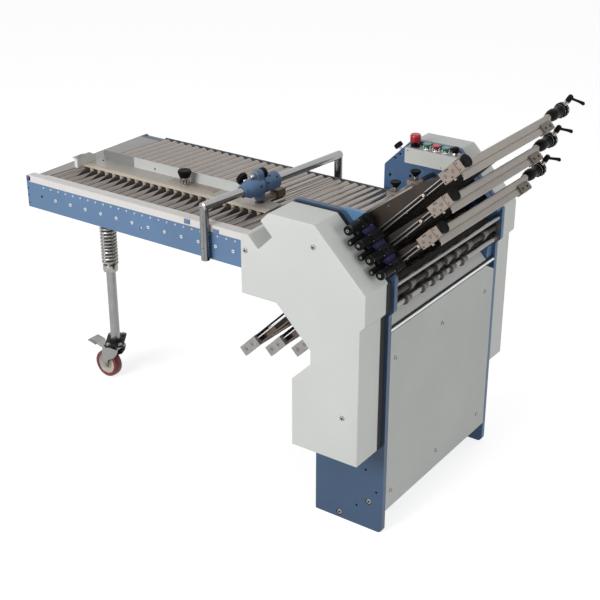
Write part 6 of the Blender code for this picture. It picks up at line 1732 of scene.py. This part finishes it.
def add_clamp_foot(clamp):
    """The clamp's round foot on the side guide, with the bar and box beside it."""
    foot = bridge_place(CLAMP_FOOT_Y)
    guide_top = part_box("side_guide")[0].z + GUIDE_SHEET + FIT_GAP
    foot.z = guide_top + 0.009
    height = BRIDGE_Z - BRIDGE_RADIUS - 0.001 - foot.z
    stations = [(0.0, 0.0120), (0.002, 0.0150), (0.005, 0.0162), (0.018, 0.0168), (height, 0.0190)]
    clamp.turned(foot, UP, stations, "cast_blue")
    foot.z = guide_top
    clamp.pin(foot, UP, 0.0145, 0.0065, "brown")
    clamp.turned(foot, UP, [(0.0, 0.0150), (0.003, 0.0150), (0.005, 0.0100)], "brown")
    bar = foot + UP * 0.001 + BRIDGE_ACROSS * 0.004
    box = bar + BRIDGE_ACROSS * 0.060 - UP * 0.0022
    for place, left, right, tall, length, finish in (
        (bar, -0.009, 0.009, 0.013, 0.075, "beige"),
        (box, -0.014, 0.016, 0.024, 0.034, "brown"),
    ):
        corners = ((0.0, left), (0.0, right), (tall, right), (tall, left))
        clamp.prism([place + UP * a + FRONT * b for a, b in corners], BRIDGE_ACROSS * length, finish)


def make_clamp_knob():
    """The clamp's tilted knob with six lobes."""
    outward = spoke(CLAMP_KNOB_TILT, -BRIDGE_ALONG, UP)
    at = bridge_place(CLAMP_KNOB_Y) + outward * (0.024 + FIT_GAP)
    knob = Piece()
    knob.pin(at, outward, 0.0145, 0.006, "chrome")
    stations = [(0.013, 0.0100), (0.015, 0.0150), (0.018, 0.0172), (0.026, 0.0172), (0.030, 0.0155),
                (0.030, 0.010), (0.0292, 0.009)]
    knob.turned(at, outward, stations, "plastic")
    for side in spokes(6, BRIDGE_ACROSS, outward.cross(BRIDGE_ACROSS)):
        knob.pin(at + side * 0.0140 + outward * 0.0155, outward, 0.013, 0.0055, "plastic")
    knob.stand_for("clamp_knob", "black_plastic", "clamp_knob", bevel=0.0)


# Leg and caster


def make_leg():
    """Socket plate under the table, telescoping tube with collar, and the caster's mounting plate."""
    x, y = -LEG_X, LEG_Y
    socket = Piece()
    near, far = inward_span("leg_socket")
    socket.block((x - 0.032, near, SOCKET_LOW), (x + 0.032, far, 0.712), "blue")
    socket.ring(machine(x, y, 0.560), UP, 0.0171, 0.0205, 0.143, "dark_chrome")
    for inward in (near + 0.012, far - 0.012):
        socket.screw(machine(x, inward, SOCKET_LOW), -UP, 0.005, SCREW)
    socket.stand_for("leg_socket", "blue_paint", bevel=0.0008)

    leg = Piece()
    leg.rod(machine(x, y, TUBE_LOW), UP, TUBE_TOP - TUBE_LOW, TUBE_RADIUS, "satin")
    collar = [(0.416, 0.0225), (0.418, 0.0250), (0.423, 0.0260), (0.437, 0.0260), (0.441, 0.0245),
              (0.441, 0.0170)]
    leg.turned(machine(x, y, 0.0), UP, collar, "zinc")
    leg.turned(machine(x, y, 0.0), UP, [(0.150, 0.0245), (0.1545, 0.0240), (0.158, 0.0185), (0.160, 0.0168)],
               "black")
    turn = Matrix.Translation(machine(x, y, 0.147)) @ Matrix.Rotation(CASTER_TURN, 4, "Z")
    corners = round_corners(rectangle(-0.0325, 0.0325, -0.054, 0.054), 0.009, 4)
    leg.prism([turn @ Vector((a, b, 0.0)) for a, b in corners], UP * 0.005, "black")
    for a in (-0.021, 0.021):
        for b in (-0.042, 0.042):
            place = turn @ Vector((a, b, 0.005))
            leg.pin(place, UP, 0.0012, 0.0078, "zinc")
            leg.rod(place + UP * 0.001, UP, 0.0048, 0.0060, "zinc", 6)
    leg.stand_for("leg_tube", "roller_steel", "leg", bevel=0.0005)
    make_spring(x, y)


def wound_share(share):
    """Share of the spring's height at a share of its wire; the first and last turns close up."""
    end = 1.0 / SPRING_CURLS
    if share < end:
        return share * share / (2 * end) + share / 2
    if share > 1 - end:
        return 1 - wound_share(1 - share)
    return share


def make_spring(x, y):
    """The wound spring round the leg, closed up at its two ends."""
    low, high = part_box("leg_spring")
    bottom, top = low.z + SPRING_WIRE, high.z - SPRING_WIRE
    total = SPRING_CURLS * SPRING_STEPS
    path = []
    for step in range(total + 1):
        place = machine(x, y, bottom + (top - bottom) * wound_share(step / total))
        path.append(place + spoke(2 * math.pi * step / SPRING_STEPS, FRONT, ACROSS) * SPRING_RADIUS)
    spring = Piece()
    spring.sweep(path, SPRING_WIRE, "spring", 10)
    item = spring.stand_for("leg_spring", "roller_steel", bevel=0.0)
    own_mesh(item)


def make_caster():
    """Swivelling fork with a round crown, and the wheel in it."""
    x, y = -LEG_X, LEG_Y
    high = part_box("caster_fork")[1]
    axle_x = x - CASTER_TRAIL
    crown_low = high.z - 0.014
    fork = Piece()
    fork.turned(machine(x, y, crown_low), UP,
                [(0.0, 0.0235), (0.003, 0.026), (0.008, 0.026), (0.010, 0.0225), (0.014, 0.0225)], "zinc")
    top = crown_low + 0.002
    under = crown_low - 0.008
    bridge = [(axle_x + 0.008, under - 0.001), (x + 0.024, under), (x + 0.026, top - 0.002), (x + 0.024, top),
              (x - 0.024, top), (axle_x - 0.002, under + 0.002)]
    fork.side_prism(bridge, y - FORK_GAP - FORK_WALL, y + FORK_GAP + FORK_WALL, "satin")
    arm = []
    for step in range(9):
        angle = math.pi * (1.0 + step / 8)
        arm.append((axle_x + 0.011 * math.cos(angle), WHEEL_RADIUS + 0.011 * math.sin(angle)))
    arm += [(axle_x + 0.016, WHEEL_RADIUS + 0.022), (x + 0.006, 0.088), (x + 0.021, 0.108),
            (x + 0.026, under)]
    arm += [(x + 0.026, top - 0.001), (x - 0.020, top - 0.001), (axle_x + 0.002, under + 0.004)]
    arm += [(axle_x - 0.007, under - 0.012), (axle_x - 0.013, 0.080)]
    for side in (-1, 1):
        inner = y + side * FORK_GAP
        outer = y + side * (FORK_GAP + FORK_WALL)
        fork.side_prism(arm, min(inner, outer), max(inner, outer), "satin")
        place = machine(axle_x, outer, WHEEL_RADIUS)
        fork.rod(place, ACROSS * side, 0.0028, 0.0075, "zinc", 6)
    fork.pin(machine(axle_x, y - FORK_GAP - 0.002, WHEEL_RADIUS), ACROSS, 2 * FORK_GAP + 0.004, 0.0055,
             "zinc")
    fork.stand_for("caster_fork", "roller_steel", "caster_fork", bevel=0.0008)
    make_wheel(axle_x, y)
    make_pedal(x, y)


def make_wheel(axle_x, y):
    """The caster's cream hub and dark red tread on a plated sleeve."""
    wheel = Piece()
    centre = machine(axle_x, y, WHEEL_RADIUS)
    half = WHEEL_WIDTH / 2
    rim, tread = 0.0375, []
    for step in range(9):
        angle = math.pi * step / 8
        tread.append((-half * math.cos(angle) * 0.96, 0.0455 + 0.0045 * math.sin(angle) ** 0.6))
    tread = [(-half, rim), (-half, 0.0440)] + tread + [(half, 0.0440), (half, rim), (half * 0.9, rim - 0.002),
                                                       (-half * 0.9, rim - 0.002)]
    wheel.turned(centre, ACROSS, tread, "tyre", ROUND * 2, closed=True, phase=0.0)
    disc = [(-0.0125, 0.0135), (-0.0125, 0.0168), (-0.0065, 0.0185), (-0.0055, 0.0300), (-0.0125, 0.0340),
            (-0.0145, 0.0370), (-0.0142, 0.0380)]
    disc += [(0.0142, 0.0380), (0.0145, 0.0370), (0.0125, 0.0340), (0.0055, 0.0300), (0.0065, 0.0185),
             (0.0125, 0.0168), (0.0125, 0.0135)]
    wheel.turned(centre, ACROSS, disc, "hub", ROUND * 2, closed=True, phase=0.0)
    sleeve = 0.0189
    wheel.ring(centre - ACROSS * sleeve, ACROSS, 0.0062, 0.0125, 2 * sleeve, "zinc")
    wheel.stand_for("caster_wheel", "wheel_urethane", "caster_wheel", bevel=0.0)


def make_pedal(x, y):
    """Ribbed brake pedal on the fork's trailing side."""
    pivot_x, pivot_z = x - 0.048, 0.116
    far_x = pivot_x - 0.062
    pedal = Piece()
    half = FORK_GAP - FIT_GAP
    outline = [(pivot_x + 0.006, pivot_z - 0.003), (pivot_x + 0.006, pivot_z + 0.003),
               (pivot_x - 0.006, pivot_z + 0.003)]
    outline += [(far_x, pivot_z + 0.015), (far_x, pivot_z + 0.011), (pivot_x - 0.006, pivot_z - 0.002)]
    pedal.side_prism(outline, y - half, y + half, "zinc")
    slope = 0.012 / 0.056
    reach = 0.034
    tread = [(far_x - 0.001, pivot_z + 0.0105), (far_x - 0.001, pivot_z + 0.0142)]
    tread += [(far_x + reach, pivot_z + 0.0142 - reach * slope),
              (far_x + reach, pivot_z + 0.0105 - reach * slope)]
    pedal.side_prism(tread, y - 0.026, y + 0.026, "zinc")
    for rib in range(7):
        along = 0.002 + rib * 0.0048
        z = pivot_z + 0.0138 - along * slope
        pedal.block((far_x + along, y - 0.0245, z), (far_x + along + 0.002, y + 0.0245, z + 0.0014), "zinc")
    pedal.stand_for("brake_pedal", "roller_steel", "brake_pedal", bevel=0.0004)


# Floor, light, camera


def plain_sight(tree):
    """One for rays from the camera, a reflection or a clear sheet, and nought for light alone."""
    path = tree.nodes.new("ShaderNodeLightPath")
    last = path.outputs["Is Camera Ray"]
    for ray in ("Is Glossy Ray", "Is Transmission Ray"):
        either = tree.nodes.new("ShaderNodeMath")
        either.operation = "MAXIMUM"
        tree.links.new(last, either.inputs[0])
        tree.links.new(path.outputs[ray], either.inputs[1])
        last = either.outputs["Value"]
    return last


def make_floor():
    """A pale floor that shows white to the camera and keeps the machine's shadow."""
    mesh = bmesh.new()
    bmesh.ops.create_grid(mesh, x_segments=1, y_segments=1, size=30.0)
    data = bpy.data.meshes.new("floor")
    mesh.to_mesh(data)
    mesh.free()
    floor = bpy.data.objects.new("floor", data)
    bpy.context.scene.collection.objects.link(floor)
    nodes = Nodes("floor_paper")
    nodes.shader.inputs["Base Color"].default_value = (0.50, 0.50, 0.50, 1.0)
    nodes.shader.inputs["Roughness"].default_value = 0.9
    nodes.shader.inputs["Specular IOR Level"].default_value = 0.1
    strength = nodes.add("ShaderNodeMath", operation="MULTIPLY")
    strength.inputs[1].default_value = FLOOR_GLOW
    nodes.link(plain_sight(nodes.tree), strength.inputs[0])
    nodes.shader.inputs["Emission Color"].default_value = WHITE
    nodes.link(strength.outputs["Value"], nodes.shader.inputs["Emission Strength"])
    data.materials.append(nodes.material)


def make_world():
    """A white studio that lights the machine softly."""
    world = bpy.data.worlds.new("studio")
    bpy.context.scene.world = world
    world.use_nodes = True
    tree = world.node_tree
    tree.nodes.clear()
    mix = tree.nodes.new("ShaderNodeMixShader")
    tree.links.new(plain_sight(tree), mix.inputs["Fac"])
    for socket, strength in ((1, WORLD_LIGHT), (2, 1.0)):
        background = tree.nodes.new("ShaderNodeBackground")
        background.inputs["Color"].default_value = WHITE
        background.inputs["Strength"].default_value = strength
        tree.links.new(background.outputs["Background"], mix.inputs[socket])
    output = tree.nodes.new("ShaderNodeOutputWorld")
    tree.links.new(mix.outputs["Shader"], output.inputs["Surface"])


def make_lamps():
    """Area lamps that all aim at the machine."""
    aim = Vector(LAMP_AIM)
    for name, place, size, power in LAMPS:
        data = bpy.data.lights.new(name, "AREA")
        data.shape = "RECTANGLE"
        data.size, data.size_y = size
        data.energy = power
        lamp = bpy.data.objects.new(name, data)
        lamp.location = place
        lamp.rotation_euler = (aim - Vector(place)).to_track_quat("-Z", "Y").to_euler()
        bpy.context.scene.collection.objects.link(lamp)


def make_camera():
    """The photo's camera."""
    data = bpy.data.cameras.new("camera")
    data.lens = CAMERA_LENS
    data.sensor_width = SENSOR_WIDTH
    camera = bpy.data.objects.new("camera", data)
    camera.location = CAMERA_PLACE
    camera.rotation_euler = (CAMERA_TILT, 0.0, CAMERA_TURN)
    bpy.context.scene.collection.objects.link(camera)
    bpy.context.scene.camera = camera


def main():
    """Sets up the stage, then builds the machine from the side plates to the caster."""
    make_camera()
    make_world()
    make_lamps()
    make_floor()
    make_side_plate("near_side_plate", True)
    make_side_plate("far_side_plate", False)
    make_cover("near_cover", True, -PLATE_THICK, -1.0, NEAR_COVER_GAP)
    make_cover("far_cover", False, INNER_WIDTH + PLATE_THICK, 1.0, FAR_COVER_GAP)
    make_panel()
    make_chute()
    make_delivery()
    make_delivery_bearings()
    make_fold_rollers()
    for index in range(3):
        make_upper_fold_plate(index)
        make_lower_fold_plate(index)
    make_bearing_blocks()
    make_hold_down()
    make_drive()
    make_controls()
    make_rails()
    make_table_end()
    make_top_strip()
    make_roller_bank()
    make_side_guide()
    make_bridge()
    make_clamp()
    make_leg()
    make_caster()
    bpy.context.scene.view_settings.view_transform = "Standard"


main()
